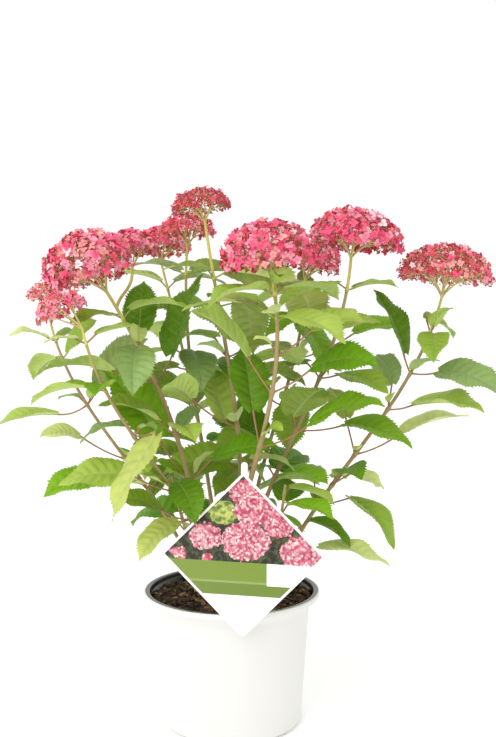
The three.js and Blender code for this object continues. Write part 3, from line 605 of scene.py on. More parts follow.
# The canes: young wood that rises from the compost, tan bark with fine cracks below and smooth and
# green above, each swollen at its leaf joints. Ten canes flower, one of them twice, and three are
# short leafy shoots. posed holds the leaves that set the plant's look from the front.
CANE_FOOT = COMPOST_TOP + 0.3
CANE_RADIUS = 2.7
STALK_RADIUS = 1.6
FOOT_FLARE = 0.5
FLARE_HEIGHT = 14
BOW = 0.36
POSE_WORDS = ("joint", "side", "turn", "reach", "rise", "swing", "pitch", "length", "curl", "roll", "tint")
# The tint in each posed row is partly painted light and shade: a darker green for a shaded leaf, a brighter
# one for a lit leaf.
CANES = [
    dict(
        name="far_left", slim=0.72, foot=(-38, 6), lean=(-0.22, 0.03), tip=(-197, 20, 432),
        tip_lean=(-0.22, 0), joints=((246, 184), (282, 185), (341, 165), (392, 134), (411, 205)),
        posed=(
            (0, 0, 184, 45, 16, 10, 14, 76, 44, -22, "bright"),
            (1, 0, 185, 56, 30, 35, 22, 50, 30, -30, "pale"),
            (2, 0, 162, 38, -26, 40, 6, 74, 30, -6, "light"),
            (2, 1, 10, 24, 56, 12, 64, 78, 40, -54, "cool"),
            (3, 0, 134, 12, 0, 0, -8, 56, 40, 10, "mid"),
            (3, 1, 312, 12, 24, 12, 50, 58, 14, 55, "mid"),
            (4, 0, 205, 10, 20, 5, 30, 44, 45, 0, "pale"),
            (4, 1, 60, 10, 20, -20, 20, 42, 30, 0, "mid"),
        ),
        head=dict(centre=(-195, 20, 459), radius=28),
    ),
    dict(
        name="left", slim=0.76, foot=(-18, -14), lean=(-0.07, -0.1), tip=(-144, -95, 428),
        tip_lean=(-0.2, -0.1), joints=((226, 225), (258, 187), (318, 110), (366, 186), (413, 188)),
        posed=(
            (0, 0, 225, 14, 0, 10, -14, 66, 36, -8, "lime"),
            (0, 1, 150, 40, 4, 45, 30, 54, 20, -22, "mid"),
            (1, 0, 187, 44, 24, 6, 16, 78, 40, -34, "light"),
            (2, 1, 330, 30, 26, -115, -48, 98, 16, 5, "lime"),
            (3, 0, 186, 20, 16, -20, 0, 64, 30, 0, "mid"),
            (4, 0, 188, 12, 30, 40, 12, 38, 30, 0, "pale"),
            (4, 1, 20, 14, 50, 0, 20, 44, 20, 0, "mid"),
        ),
        head=dict(centre=(-165, -95, 447), radius=25),
    ),
    dict(
        name="left_tall", foot=(-27, -4), lean=(-0.07, -0.06), tip=(-128, -36, 464),
        tip_lean=(-0.62, -0.05), joints=((262, 175), (314, 330), (370, 208), (406, 268), (436, 200)),
        posed=(
            (0, 0, 176, 58, 54, 7, 60, 94, 14, -58, "bright"),
            (1, 0, 290, 14, 30, 0, 20, 60, 44, 0, "light"),
            (2, 0, 222, 50, 14, -8, 20, 84, 34, 15, "mid"),
            (2, 1, 38, 36, 46, 0, 72, 94, 12, 0, "dark"),
            (3, 0, 268, 20, 12, 4, -20, 72, 34, 0, "cool"),
            (3, 1, 110, 18, 50, -10, 74, 66, 14, 0, "dark"),
            (4, 0, 214, 9, 30, 12, 12, 60, 40, -10, "mid"),
            (4, 1, 330, 14, 50, 20, 24, 64, 44, 0, "mid"),
        ),
        head=dict(centre=(-147, -38, 489), radius=47, tall=1.25),
    ),
    dict(
        name="tall", slim=0.9, foot=(-2, 4), lean=(0.22, -0.02), tip=(-28, 0, 538),
        tip_lean=(-0.14, 0), joints=((268, 60), (319, 205), (360, 290), (394, 205), (448, 85), (478, 184)),
        posed=(
            (0, 0, 135, 20, 36, 38, 10, 76, 32, -40, "mid"),
            (1, 0, 205, 62, 30, 38, 36, 62, 34, 30, "mid"),
            (1, 1, 150, 18, 10, -20, 66, 78, 20, 0, "light"),
            (2, 1, 120, 20, 40, 0, 30, 80, 40, 0, "dark"),
            (3, 1, 30, 30, 30, 20, 10, 80, 40, 10, "olive"),
            (4, 0, 45, 42, 24, 34, -32, 78, 40, 0, "mid"),
            (4, 1, 250, 16, 40, 60, 10, 74, 40, 0, "mid"),
            (5, 0, 184, 13, 40, -26, 18, 62, 34, 0, "light"),
            (5, 1, 26, 17, 36, -30, 0, 86, 28, -52, "olive"),
        ),
        head=dict(centre=(-32, 0, 554), radius=32),
    ),
    dict(
        name="front", foot=(-4, -14), lean=(0.06, -0.18), tip=(40, -108, 481),
        tip_lean=(-0.21, -0.22), joints=((306, 0), (363, 173), (400, 75), (437, 292), (461, 185)),
        posed=(
            (0, 0, 358, 58, 22, -24, 36, 84, 34, 25, "bright"),
            (0, 1, 150, 38, 80, -40, 72, 74, 24, 0, "dark"),
            (1, 0, 173, 44, 58, -26, 50, 84, 30, 42, "dark"),
            (1, 1, 358, 48, 34, -30, 26, 74, 40, 34, "glossy"),
            (2, 1, 350, 44, 40, 20, 30, 58, 36, 30, "light"),
            (3, 0, 292, 22, 12, 26, 0, 76, 36, 16, "light"),
            (3, 1, 130, 24, 40, 20, 16, 84, 36, -10, "olive"),
            (4, 0, 181, 12, 30, 38, 6, 72, 34, 0, "mid"),
            (4, 1, 36, 12, 40, 0, 12, 76, 34, 0, "mid"),
        ),
        head=dict(centre=(36, -110, 502), radius=45, tall=1.05),
    ),
    dict(
        name="right", slim=0.9, foot=(12, 6), lean=(0.1, 0.02), tip=(126, -10, 500),
        tip_lean=(0.07, 0), joints=((264, 90), (316, 355), (372, 290), (420, 20), (466, 355)),
        posed=(
            (1, 0, 355, 55, 10, -8, 4, 84, 36, 15, "bright"),
            (1, 1, 250, 20, 60, 46, 40, 76, 20, -12, "dark"),
            (3, 0, 10, 10, 40, 0, 30, 44, 40, 20, "light"),
            (3, 1, 200, 20, 50, 20, 10, 84, 40, -10, "bright"),
            (4, 0, 20, 9, 10, -4, 20, 52, 36, 0, "mid"),
            (4, 1, 177, 12, 50, 26, -4, 76, 26, 0, "mid"),
        ),
        head=dict(centre=(131, -10, 521), radius=48),
    ),
    dict(
        name="back_right", slim=0.86, foot=(22, 26), lean=(-0.13, 0.2), tip=(84, 110, 478),
        tip_lean=(0, 0.1), joints=((280, 70), (334, 350), (386, 340), (430, 215), (458, 100)),
        posed=(
            (0, 0, 104, 24, 60, 34, 30, 86, 34, -30, "dark"),
            (1, 0, 304, 22, 10, -40, -20, 72, 40, 0, "mid"),
            (2, 0, 352, 76, 24, 6, 24, 62, 30, 25, "bright"),
            (3, 0, 215, 42, 0, 50, -30, 90, 40, 0, "bright"),
            (3, 1, 40, 20, 40, 0, 10, 80, 40, 10, "olive"),
            (4, 0, 200, 16, 30, 20, 0, 72, 40, 0, "mid"),
            (4, 1, 264, 42, 8, 14, -10, 82, 36, 16, "olive"),
        ),
        head=dict(centre=(94, 110, 502), radius=32, tall=1.3),
    ),
    dict(
        name="far_right", slim=0.84, foot=(42, 4), lean=(0.37, -0.02), tip=(224, 0, 459),
        tip_lean=(0.25, 0), joints=((232, 357), (256, 4), (289, 355), (338, 352), (377, 329), (420, 274)),
        posed=(
            (0, 0, 357, 37, 26, -42, -16, 78, 36, -10, "mid"),
            (1, 0, 4, 25, 44, 10, -8, 44, 30, 25, "pale"),
            (2, 0, 355, 56, 26, 14, 26, 78, 26, 8, "pale"),
            (2, 1, 124, 42, 74, -16, 48, 54, 24, 0, "olive"),
            (3, 0, 350, 27, 10, -24, 14, 82, 26, 8, "light"),
            (3, 1, 66, 30, 62, 40, 54, 54, 30, -20, "cool"),
            (4, 0, 329, 32, 4, -10, 6, 78, 40, 30, "cool"),
            (4, 1, 118, 24, 55, 24, 70, 80, 14, 10, "dark"),
            (5, 0, 274, 16, 0, -14, -8, 58, 34, 0, "mid"),
            (5, 1, 100, 18, 70, -60, 0, 54, 40, 30, "mid"),
        ),
        head=dict(centre=(228, 0, 483), radius=51),
    ),
    dict(
        name="back", slim=0.8, foot=(-10, 18), lean=(-0.1, 0.12), tip=(-51, 72, 516),
        tip_lean=(0.07, 0.02), joints=((286, 140), (342, 60), (390, 150), (436, 70), (484, 160)),
        head=dict(centre=(-50, 72, 534), radius=30),
    ),
    dict(
        name="back_left", slim=0.8, foot=(-16, 34), lean=(-0.06, 0.35), tip=(-87, 146, 500),
        tip_lean=(-0.25, 0.08), joints=((262, 190), (318, 110), (372, 200), (424, 120), (468, 190)),
        head=dict(centre=(-86, 150, 521), radius=34),
    ),
    dict(
        name="low_right", slim=0.8, foot=(30, -22), lean=(0.25, -0.2), tip=(56, -52, 266),
        tip_lean=(0.1, -0.1), joints=((200, 328), (232, 0), (256, 80)),
        posed=(
            (0, 0, 330, 48, 0, 0, 4, 78, 30, 5, "pale"),
            (0, 1, 13, 46, 44, -50, -4, 56, 34, 0, "dark"),
            (1, 0, 300, 20, 60, 20, 12, 60, 30, 0, "bright"),
        ),
    ),
    dict(
        name="low_back", slim=0.8, foot=(6, 46), lean=(0.05, 0.35), tip=(22, 92, 268),
        tip_lean=(0.1, 0.15), joints=((190, 100), (226, 10), (258, 80)),
    ),
    dict(
        name="low_back_left", slim=0.8, foot=(-34, 34), lean=(-0.25, 0.25), tip=(-70, 76, 262),
        tip_lean=(-0.1, 0.2), joints=((190, 150), (224, 60), (252, 150)),
    ),
]
FORK = dict(
    cane="left_tall", height=447, lean=(0.1, 1.2), tip=(-109, 32, 490), tip_lean=(-0.1, 0.5),
    head=dict(centre=(-110, 38, 514), radius=28),
)
BARK_STEP = 1.6
BARK_SIDES = 12
BARK_RIDGES = (900, 900, 90)
JOINT_SWELL = 0.42
JOINT_WIDTH = 2.6
WOODY_JOINTS = 1
GREEN_JOINTS = 1
FORK_STEPS = 30


def bowed_curve(foot, lean, tip, tip_lean):
    """A centre line that leaves its foot along one lean and arrives at its tip along another."""
    foot, tip = np.array(foot, float), np.array(tip, float)
    handle = np.linalg.norm(tip - foot) * BOW
    start, end = np.array((*lean, 1.0)), np.array((*tip_lean, 1.0))
    return foot, foot + start * handle / np.linalg.norm(start), tip - end * handle / np.linalg.norm(end), tip


def curve_length(curve):
    return np.linalg.norm(np.diff(bezier(curve, np.linspace(0, 1, 201)), axis=0), axis=1).sum()


def parameter_at(curve, height):
    low, high = 0.0, 1.0
    for _ in range(40):
        middle = (low + high) / 2
        low, high = (middle, high) if bezier(curve, middle)[0, 2] < height else (low, middle)
    return low


def cane_radius(t, height):
    flare = FOOT_FLARE * np.maximum(0, 1 - (height - CANE_FOOT) / FLARE_HEIGHT)
    return (CANE_RADIUS + (STALK_RADIUS - CANE_RADIUS) * t) * (1 + flare)


def skin_tree():
    """Geometry Nodes that skin every path with a round tube as thick as its points' girth, with a
    relief of fine lengthwise ridges."""
    inputs = dict(Paths="Geometry", Sides="Int", Relief="Float", Finish="Material")
    tree, given = new_tree("skin along paths", **inputs)
    curve = wired(tree, "GeometryNodeMeshToCurve", {"Mesh": given["Paths"]})["Curve"]
    ring = {"Resolution": given["Sides"], "Radius": 1}
    circle = wired(tree, "GeometryNodeCurvePrimitiveCircle", ring)["Curve"]
    girth = wired(tree, "GeometryNodeInputNamedAttribute", {"Name": "girth"})["Attribute"]
    shape = {"Curve": curve, "Profile Curve": circle, "Scale": girth, "Fill Caps": True}
    tube = wired(tree, "GeometryNodeCurveToMesh", shape)["Mesh"]
    place = wired(tree, "GeometryNodeInputPosition")["Position"]
    ridges = wired(tree, "ShaderNodeVectorMath", {0: place, 1: BARK_RIDGES}, operation="MULTIPLY")["Vector"]
    noise = wired(tree, "ShaderNodeTexNoise", {"Vector": ridges, "Scale": 1})["Fac"]
    height = wired(tree, "ShaderNodeMath", {0: noise, 1: given["Relief"]}, operation="MULTIPLY")["Value"]
    normal = wired(tree, "GeometryNodeInputNormal")["Normal"]
    outward = wired(tree, "ShaderNodeVectorMath", {0: normal, "Scale": height}, operation="SCALE")["Vector"]
    moved = wired(tree, "GeometryNodeSetPosition", {"Geometry": tube, "Offset": outward})["Geometry"]
    smooth = wired(tree, "GeometryNodeSetShadeSmooth", {"Geometry": moved})["Geometry"]
    return ended(tree, smooth, given["Finish"])


SKIN = skin_tree()


def skinned(name, paths, sides, relief, finish, slot, *nodes):
    """A piece of round tubes along paths, each given as its points and their radii."""
    source = bpy.data.meshes.new(name + " paths")
    at = np.concatenate([np.asarray(points, float) for points, _ in paths]) * MM
    girths = np.concatenate([np.asarray(radii, float) for _, radii in paths]) * MM
    edges, start = [], 0
    for points, _ in paths:
        edges += [(start + i, start + i + 1) for i in range(len(points) - 1)]
        start += len(points)
    source.from_pydata(at.tolist(), edges, [])
    source.attributes.new("girth", "FLOAT", "POINT").data.foreach_set("value", girths)
    mesh = plain_mesh(name, source, SKIN, {"Sides": sides, "Relief": relief * MM, "Finish": finish})
    riding(mesh, slot, *nodes)


curves = [
    bowed_curve((*cane["foot"], CANE_FOOT), cane["lean"], cane["tip"], cane["tip_lean"]) for cane in CANES
]
forked = curves[[cane["name"] for cane in CANES].index(FORK["cane"])]
fork_foot = bezier(forked, parameter_at(forked, FORK["height"]))[0]
fork_curve = bowed_curve(fork_foot, FORK["lean"], FORK["tip"], FORK["tip_lean"])

woody, green, stalks = [], [], []
for cane, curve in zip(CANES, curves):
    steps = math.ceil(curve_length(curve) / BARK_STEP)
    t = np.linspace(0, 1, steps + 1)
    points = bezier(curve, t)
    radii = cane_radius(t, points[:, 2])
    at_joints = [parameter_at(curve, height) for height, _ in cane["joints"]]
    for height, _ in cane["joints"]:
        radii = radii * (1 + JOINT_SWELL * np.exp(-(((points[:, 2] - height) / JOINT_WIDTH) ** 2)))
    radii = radii * cane.get("slim", 1)
    first = int(at_joints[-1 - WOODY_JOINTS] * steps)
    second = int(at_joints[-GREEN_JOINTS] * steps) if "head" in cane else steps
    woody.append((points[:first + 1], radii[:first + 1]))
    green.append((points[first:second + 1], radii[first:second + 1]))
    if "head" in cane:
        stalks.append((points[second:], radii[second:]))
fork_points = bezier(fork_curve, np.linspace(0, 1, FORK_STEPS))
stalks.append((fork_points, np.full(FORK_STEPS, STALK_RADIUS)))

cane_nodes = [f"cane_{cane['name']}" for cane in CANES]
for name, paths, ridge, colour, look, slot, nodes in (
    ("canes_woody", woody, 0.5, (162, 140, 96), (0.75, 90, 0.78, 1600, 0.25), "bark", cane_nodes),
    ("canes_green", green, 0.25, (172, 158, 88), (0.6, 90, 0.82, 1600, 0.12), "bark", ()),
    ("flower_stalks", stalks, 0.15, (204, 192, 98), (0.5, 120, 0.86, 1600, 0.08), "blossom", ()),
):
    bark = surface(name.replace("_", " "), colour, *look, stretch=(1, 1, 0.2))
    skinned(name, paths, BARK_SIDES, ridge, bark, slot, *nodes)


# The leaves: opposite pairs on long reddish stalks, each blade egg-shaped with a long point, toothed,
# quilted between its side veins and paler below. They grow by the rule that shapes the solid part.
HALF_WIDTH = 0.33
LOWEST_LEAF = 152
WIDEST = 0.45 / 1.7
STALK_BALLS = (0.3, 0.6, 0.9)
STALK_BALL = 2.2
BLADE_ROWS = (0.06, 0.18, 0.3, 0.42, 0.54, 0.68, 0.84, 1)
BLADE_COLUMNS = (-0.95, -0.64, -0.32, 0, 0.32, 0.64, 0.95)
BLADE_BALL = 0.048
BLADE_BALL_NEAR_STEM = 0.3
STEM_STEP = 7
STEM_CLEARANCE = 1.4
HEAD_UPRIGHT = 0.9
HEAD_BALL = 0.42
HEAD_BALL_RING = 0.62
HEAD_BALLS = 7
CARD_BALLS = 12
CARD_BALL = 7
BLADE_SHORTEST = 70
BLADE_SPREAD = 26
NEAR_FLOWER = 0.72
SMALLER_NEAR_FLOWER = 0.24
LEAF_STALK_SHORTEST = 14
LEAF_STALK_SPREAD = 34
TRIES = 13
TRY_TURN = 16
TRY_RISE = 12
TRY_SHORTER = 0.03
YOUNG_SEED = 7000
YOUNG_TINTS = ("light", "bright", "mid", "pale", "cool")
GROWN_TINTS = ("dark", "mid", "bright", "mid", "dark", "light", "glossy", "cool")


def direction(turn, rise):
    turn, rise = math.radians(turn), math.radians(rise)
    return np.array((math.cos(turn) * math.cos(rise), math.sin(turn) * math.cos(rise), math.sin(rise)))


def blade_width(s):
    return s ** 0.45 * (1 - s) ** 1.25 / (WIDEST ** 0.45 * (1 - WIDEST) ** 1.25)


def leaf_from(pose, joint):
    """A leaf's stalk and where its blade starts: the stalk leaves the joint and bends to the blade."""
    bend = joint + direction(pose["turn"], pose["rise"]) * pose["reach"] / 2
    base = bend + direction(pose["turn"], (pose["rise"] + pose["pitch"]) / 2) * pose["reach"] / 2
    leaf = dict(pose, base=base, heading=pose["turn"] + pose["swing"])
    leaf["stalk"] = (joint, bend, blade_frame(leaf, 0.08)[0][0])
    return leaf


def blade_frame(leaf, s, droop=0.0, twist=0.0):
    """The midrib's points at shares s of the blade, with the blade's sideways and upward directions."""
    s = np.atleast_1d(np.asarray(s, float))
    curl, start = math.radians(max(1, leaf["curl"])), math.radians(leaf["pitch"])
    fine = np.linspace(-0.15, 1.2, 136)
    slopes = start - curl * np.maximum(fine, 0) - droop * np.maximum(fine, 0) ** 3
    slope = np.interp(s, fine, slopes)
    if droop:
        step = fine[1] - fine[0]
        along, up = np.cumsum(np.cos(slopes)) * step, np.cumsum(np.sin(slopes)) * step
        along, up = (np.interp(s, fine, sums) - np.interp(0, fine, sums) for sums in (along, up))
    else:
        along, up = (math.sin(start) - np.sin(slope)) / curl, (np.cos(slope) - math.cos(start)) / curl
    level = direction(leaf["heading"], 0)
    across = np.array((-level[1], level[0], 0))
    normal = -np.sin(slope)[:, None] * level + np.cos(slope)[:, None] * np.array((0, 0, 1.0))
    roll = math.radians(leaf["roll"]) + twist * (s[:, None] - 0.1)
    middle = leaf["base"] + (along[:, None] * level + up[:, None] * np.array((0, 0, 1.0))) * leaf["length"]
    side = across * np.cos(roll) + normal * np.sin(roll)
    face = normal * np.cos(roll) - across * np.sin(roll)
    return middle, side, face


def leaf_balls(leaf):
    """The balls that a leaf fills: their places, radii, and whether each is near its stem."""
    stalk = bezier(leaf["stalk"], STALK_BALLS)
    s = np.repeat(BLADE_ROWS, len(BLADE_COLUMNS))
    v = np.tile(BLADE_COLUMNS, len(BLADE_ROWS))[:, None]
    middle, side, face = blade_frame(leaf, s)
    half = (leaf["length"] * HALF_WIDTH * blade_width(s))[:, None]
    fold = math.radians(leaf["fold"])
    blade = middle + side * v * half * math.cos(fold) + face * np.abs(v) * half * math.sin(fold)
    radii = np.full(len(stalk), STALK_BALL), np.full(len(blade), leaf["length"] * BLADE_BALL)
    near = np.full(len(stalk), True), s < BLADE_BALL_NEAR_STEM
    return np.concatenate((stalk, blade)), np.concatenate(radii), np.concatenate(near)


NO_JOINT = -1
taken = dict(
    at=np.zeros((0, 3)), radius=np.zeros(0), stem=np.zeros(0, int), joint=np.zeros(0, int),
    wood=np.zeros(0, bool),
)


def take(at, radius, stem, joint=NO_JOINT, wood=False):
    count = len(at)
    new = dict(
        at=at, radius=np.broadcast_to(radius, count), stem=np.full(count, stem),
        joint=np.full(count, joint), wood=np.full(count, wood),
    )
    for word, values in new.items():
        taken[word] = np.concatenate((taken[word], values))


def is_clear(at, radii, near, stem, joint):
    if at[:, 2].min() < LOWEST_LEAF:
        return False
    middle = at.mean(axis=0)
    reach = np.linalg.norm(at - middle, axis=1).max() + radii.max() + taken["radius"].max()
    close = np.linalg.norm(taken["at"] - middle, axis=1) < reach
    apart = radii[:, None] + taken["radius"][close]
    distance = ((at[:, None] - taken["at"][close]) ** 2).sum(axis=2)
    own = taken["stem"][close] == stem
    skipped = np.where(near[:, None], own & taken["wood"][close], own & (taken["joint"][close] == joint))
    return not ((distance < apart ** 2) & ~skipped).any()


def take_stem(number, curve):
    t = np.linspace(0, 1, math.ceil(curve_length(curve) / STEM_STEP) + 1)
    points = bezier(curve, t)
    take(points, cane_radius(t, points[:, 2]) + STEM_CLEARANCE, number, wood=True)


def head_frame(name, curve, head):
    """A flower head's hub, centre, axis and the two directions across it."""
    hub, centre = np.array(curve[3]), np.array(head["centre"], float)
    axis = (centre - hub) / np.linalg.norm(centre - hub) + np.array((0, 0, HEAD_UPRIGHT))
    axis /= np.linalg.norm(axis)
    right = np.cross((0, 1, 0), axis)
    right /= np.linalg.norm(right)
    return dict(
        name=name, hub=hub, centre=centre, axis=axis, right=right, away=np.cross(axis, right),
        radius=head["radius"], tall=head.get("tall", 1),
    )


def take_head(number, head):
    angles = np.arange(HEAD_BALLS) * 2 * np.pi / HEAD_BALLS
    ring = np.cos(angles)[:, None] * head["right"] + np.sin(angles)[:, None] * head["away"]
    at = np.concatenate((head["centre"][None], head["centre"] + ring * head["radius"] * HEAD_BALL_RING))
    take(at, head["radius"] * HEAD_BALL, number)


FORK_STEM = len(CANES)
LABEL = FORK_STEM + 1
heads = [
    head_frame(cane["name"], curve, cane["head"]) for cane, curve in zip(CANES, curves) if "head" in cane
]
heads.append(head_frame("fork", fork_curve, FORK["head"]))
for number, curve in enumerate(curves):
    take_stem(number, curve)
take_stem(FORK_STEM, fork_curve)
for number, head in enumerate(heads):
    take_head(number if head["name"] != "fork" else FORK_STEM, head)
for along in (np.arange(CARD_BALLS + 1) / CARD_BALLS - 0.5) * CARD_HALF_DIAGONAL:
    for high in (np.arange(CARD_BALLS + 1) / CARD_BALLS - 0.5) * CARD_HALF_DIAGONAL:
        at = np.array(CARD_CENTRE) + CARD_RIGHT * (along - high) + CARD_UP * (along + high)
        take(at[None], CARD_BALL, LABEL)
for down in np.arange(CARD_BALLS + 1) / CARD_BALLS * STAKE_LENGTH:
    take((np.array(STAKE_TOP) + direction(90, STAKE_LEAN - 90) * down)[None], CARD_BALL, LABEL)


def grown_pose(number, joint, side, turn, share):
    """A leaf that the rule grows, from numbers drawn for its joint and side."""
    draw = random_from(number * 100 + joint * 10 + side)
    small = 1 - SMALLER_NEAR_FLOWER * max(0, (share - NEAR_FLOWER) / (1 - NEAR_FLOWER))
    return dict(
        turn=turn + side * 180 + (draw() - 0.5) * 30,
        length=(BLADE_SHORTEST + BLADE_SPREAD * draw()) * small,
        reach=(LEAF_STALK_SHORTEST + LEAF_STALK_SPREAD * draw()) * (1.25 - share) * small,
        rise=15 + 45 * draw(),
        swing=(draw() - 0.5) * 36,
        pitch=-12 + 50 * draw(),
        curl=22 + 34 * draw(),
        roll=(draw() - 0.5) * 50,
        fold=8 + 16 * draw(),
        tint=GROWN_TINTS[int(draw() * len(GROWN_TINTS))],
    )


leaves = []


def place_leaf(number, joint, pose):
    """Adds the leaf, turned a little further at each try until it is clear of all that is placed."""
    at = bezier(curves[number], parameter_at(curves[number], CANES[number]["joints"][joint][0]))[0]
    for attempt in range(TRIES):
        step = math.ceil(attempt / 2) * (1 if attempt % 2 else -1)
        tried = dict(
            pose, turn=pose["turn"] + step * TRY_TURN, rise=pose["rise"] + (TRY_RISE if attempt > 4 else 0),
            length=pose["length"] * (1 - TRY_SHORTER * attempt), stem=number,
        )
        leaf = leaf_from(tried, at)
        balls, radii, near = leaf_balls(leaf)
        if is_clear(balls, radii, near, number, joint):
            take(balls, radii, number, joint)
            leaves.append(leaf)
            return


def each_joint():
    """Every side of every joint: the cane's number, the cane, the joint, its height, turn and side."""
    for number, cane in enumerate(CANES):
        for joint, (height, turn) in enumerate(cane["joints"]):
            for side in (0, 1):
                yield number, cane, joint, height, turn, side


for number, cane in enumerate(CANES):
    for row in cane.get("posed", ()):
        pose = dict(zip(POSE_WORDS, row))
        draw = random_from(number * 100 + pose["joint"] * 10 + pose["side"])
        place_leaf(number, pose["joint"], dict(pose, fold=8 + 16 * draw()))
for number, cane, joint, height, turn, side in each_joint():
    if not any(row[:2] == (joint, side) for row in cane.get("posed", ())):
        share = (height - CANE_FOOT) / (cane["tip"][2] - CANE_FOOT)
        place_leaf(number, joint, grown_pose(number, joint, side, turn, share))
for number, cane, joint, height, turn, side in each_joint():
    draw = random_from(YOUNG_SEED + number * 100 + joint * 10 + side)
    place_leaf(number, joint, dict(
        turn=turn + side * 180 + 90 * (draw() - 0.5), reach=5 + 9 * draw(), rise=40 + 30 * draw(),
        swing=60 * (draw() - 0.5), pitch=20 + 50 * draw(), length=22 + 22 * draw(), curl=20 + 50 * draw(),
        roll=60 * (draw() - 0.5), fold=10 + 16 * draw(), tint=YOUNG_TINTS[int(draw() * len(YOUNG_TINTS))],
    ))

BLADE_SEED = 5000
ROWS = 44
SMALL_ROWS = 26
SMALL_LEAF = 46
VEIN_EVERY = 5
COLUMNS = np.array((-1, -0.91, -0.7, -0.46, -0.22, -0.05, 0, 0.05, 0.22, 0.46, 0.7, 0.91, 1))
OUTLINE_AT = (0, 0.05, 0.12, 0.2, 0.35, 0.5, 0.65, 0.8, 0.92, 1)
OUTLINE = (0.24, 0.52, 0.75, 0.86, 0.87, 0.76, 0.54, 0.27, 0.09, 0.006)
BLADE_THICK = 0.35
QUILTING = 0.02
GROOVE = 0.006
TOOTH = 0.028
WAVE = 0.03
RIB = 0.55
RIB_STEPS = 16
STALK_SAG = 0.12
STALK_STEPS = 14
GREEN_STALKS_FROM = 425
LEAF_NET = 260
# Leaf greens above and below, with their sheen. These greens are partly painted light and shade: a posed
# leaf takes a darker tint where it is shaded, and a paler, brighter one where it is lit or light shines
# through it. Grown and young leaves take tints at random.
LEAF_GREENS = {
    "lime": ((180, 192, 92), (196, 206, 116), 0.3),
    "pale": ((196, 210, 122), (204, 216, 136), 0.4),
    "light": ((154, 180, 60), (188, 204, 112), 0.4),
    "bright": ((116, 162, 10), (168, 194, 80), 0.18),
    "mid": ((130, 162, 38), (176, 198, 98), 0.26),
    "olive": ((138, 156, 44), (176, 188, 92), 0.3),
    "cool": ((124, 154, 74), (172, 192, 116), 0.5),
    "glossy": ((96, 146, 2), (150, 180, 60), 0.12),
    "dark": ((84, 126, 4), (136, 160, 62), 0.14),
}


def quads_of(index):
    """The corners of every cell in a grid of point numbers."""
    return np.stack((index[:-1, :-1], index[1:, :-1], index[1:, 1:], index[:-1, 1:]), axis=-1).reshape(-1, 4)


def blade_mesh(leaf, draw):
    """A blade as two sheets that meet along its toothed edge, on rows that follow its side veins:
    its points, quads, which quads are the underside, and how near each point is to a vein."""
    length = leaf["length"]
    rows = ROWS if length > SMALL_LEAF else SMALL_ROWS
    s, v = np.meshgrid(np.linspace(0, 1, rows + 1), COLUMNS, indexing="ij")
    row = np.arange(rows + 1)[:, None] + 0 * v
    out = np.abs(v)
    lead = np.where(s < 0.35, 0.17 * (1 - (1 - s / 0.35) ** 2) - 0.05, 0.12 * (1 - ((s - 0.35) / 0.65) ** 2))
    half = length * HALF_WIDTH * np.interp(s, OUTLINE_AT, OUTLINE)
    toothed = (out == 1) & (row > 1) & (row < rows - 1) & (row % 2 == 0)
    uneven = np.array([[0.5 + draw() for _ in COLUMNS] for _ in range(rows + 1)])
    tooth = TOOTH * length * np.minimum(1, half / (0.12 * length)) * toothed * uneven
    at = s + lead * out ** 1.2 + 0.8 * tooth / length
    fold = math.radians(leaf["fold"])
    sideways = v * half * math.cos(fold) + np.sign(v) * tooth
    apart = np.abs(((row + np.where(v < 0, 2, 0)) / VEIN_EVERY + 0.5) % 1 - 0.5) * 2
    rise = half * math.sin(fold) * out * (1.35 - 0.45 * out)
    quilted = QUILTING * length * np.sin(np.pi / 2 * apart) ** 2 * np.minimum(1, out / 0.2)
    rise += quilted * (1 - out ** 4) * (1 - s ** 3)
    rise -= GROOVE * length * np.exp(-((v / 0.06) ** 2)) * (1 - s)
    phases = draw() * 2 * np.pi, draw() * 2 * np.pi
    waves = np.sin(2 * np.pi * (1.3 + draw()) * s + np.where(v < 0, *phases))
    rise += WAVE * length * out ** 2 * waves * np.sin(np.pi * s) ** 0.5
    droop, twist = 0.35 * draw(), 0.7 * (draw() - 0.5)
    middle, side, face = blade_frame(leaf, at.ravel(), droop, twist)
    top = middle + side * sideways.reshape(-1, 1) + face * rise.reshape(-1, 1)
    leaf["rib"] = blade_rib(leaf, droop, twist)
    index = np.arange(s.size).reshape(s.shape)
    edge = np.zeros(s.shape, bool)
    edge[[0, -1]] = True
    edge[:, [0, -1]] = True
    below = index.copy()
    below[~edge] = s.size + np.arange((~edge).sum())
    under = (top - face * BLADE_THICK)[~edge.ravel()]
    quads = np.concatenate((quads_of(index), quads_of(below)[:, (0, 3, 2, 1)]))
    kinds = np.repeat((0, 1), len(quads) // 2)
    vein = np.maximum(np.exp(-((v / 0.045) ** 2)), 0.6 * (1 - apart) ** 4 * (1 - 0.6 * out))
    return np.concatenate((top, under)), quads, kinds, np.concatenate((vein.ravel(), vein[~edge]))


def blade_rib(leaf, droop, twist):
    """The midrib that stands out of the underside, from the end of the leaf's stalk towards its tip."""
    s = np.linspace(-0.01, 0.9, RIB_STEPS)
    middle, _, face = blade_frame(leaf, s, droop, twist)
    depth = GROOVE * leaf["length"] * (1 - s[:, None]) + 0.25
    return middle - face * depth, RIB * (1 - 0.8 * np.linspace(0, 1, RIB_STEPS))


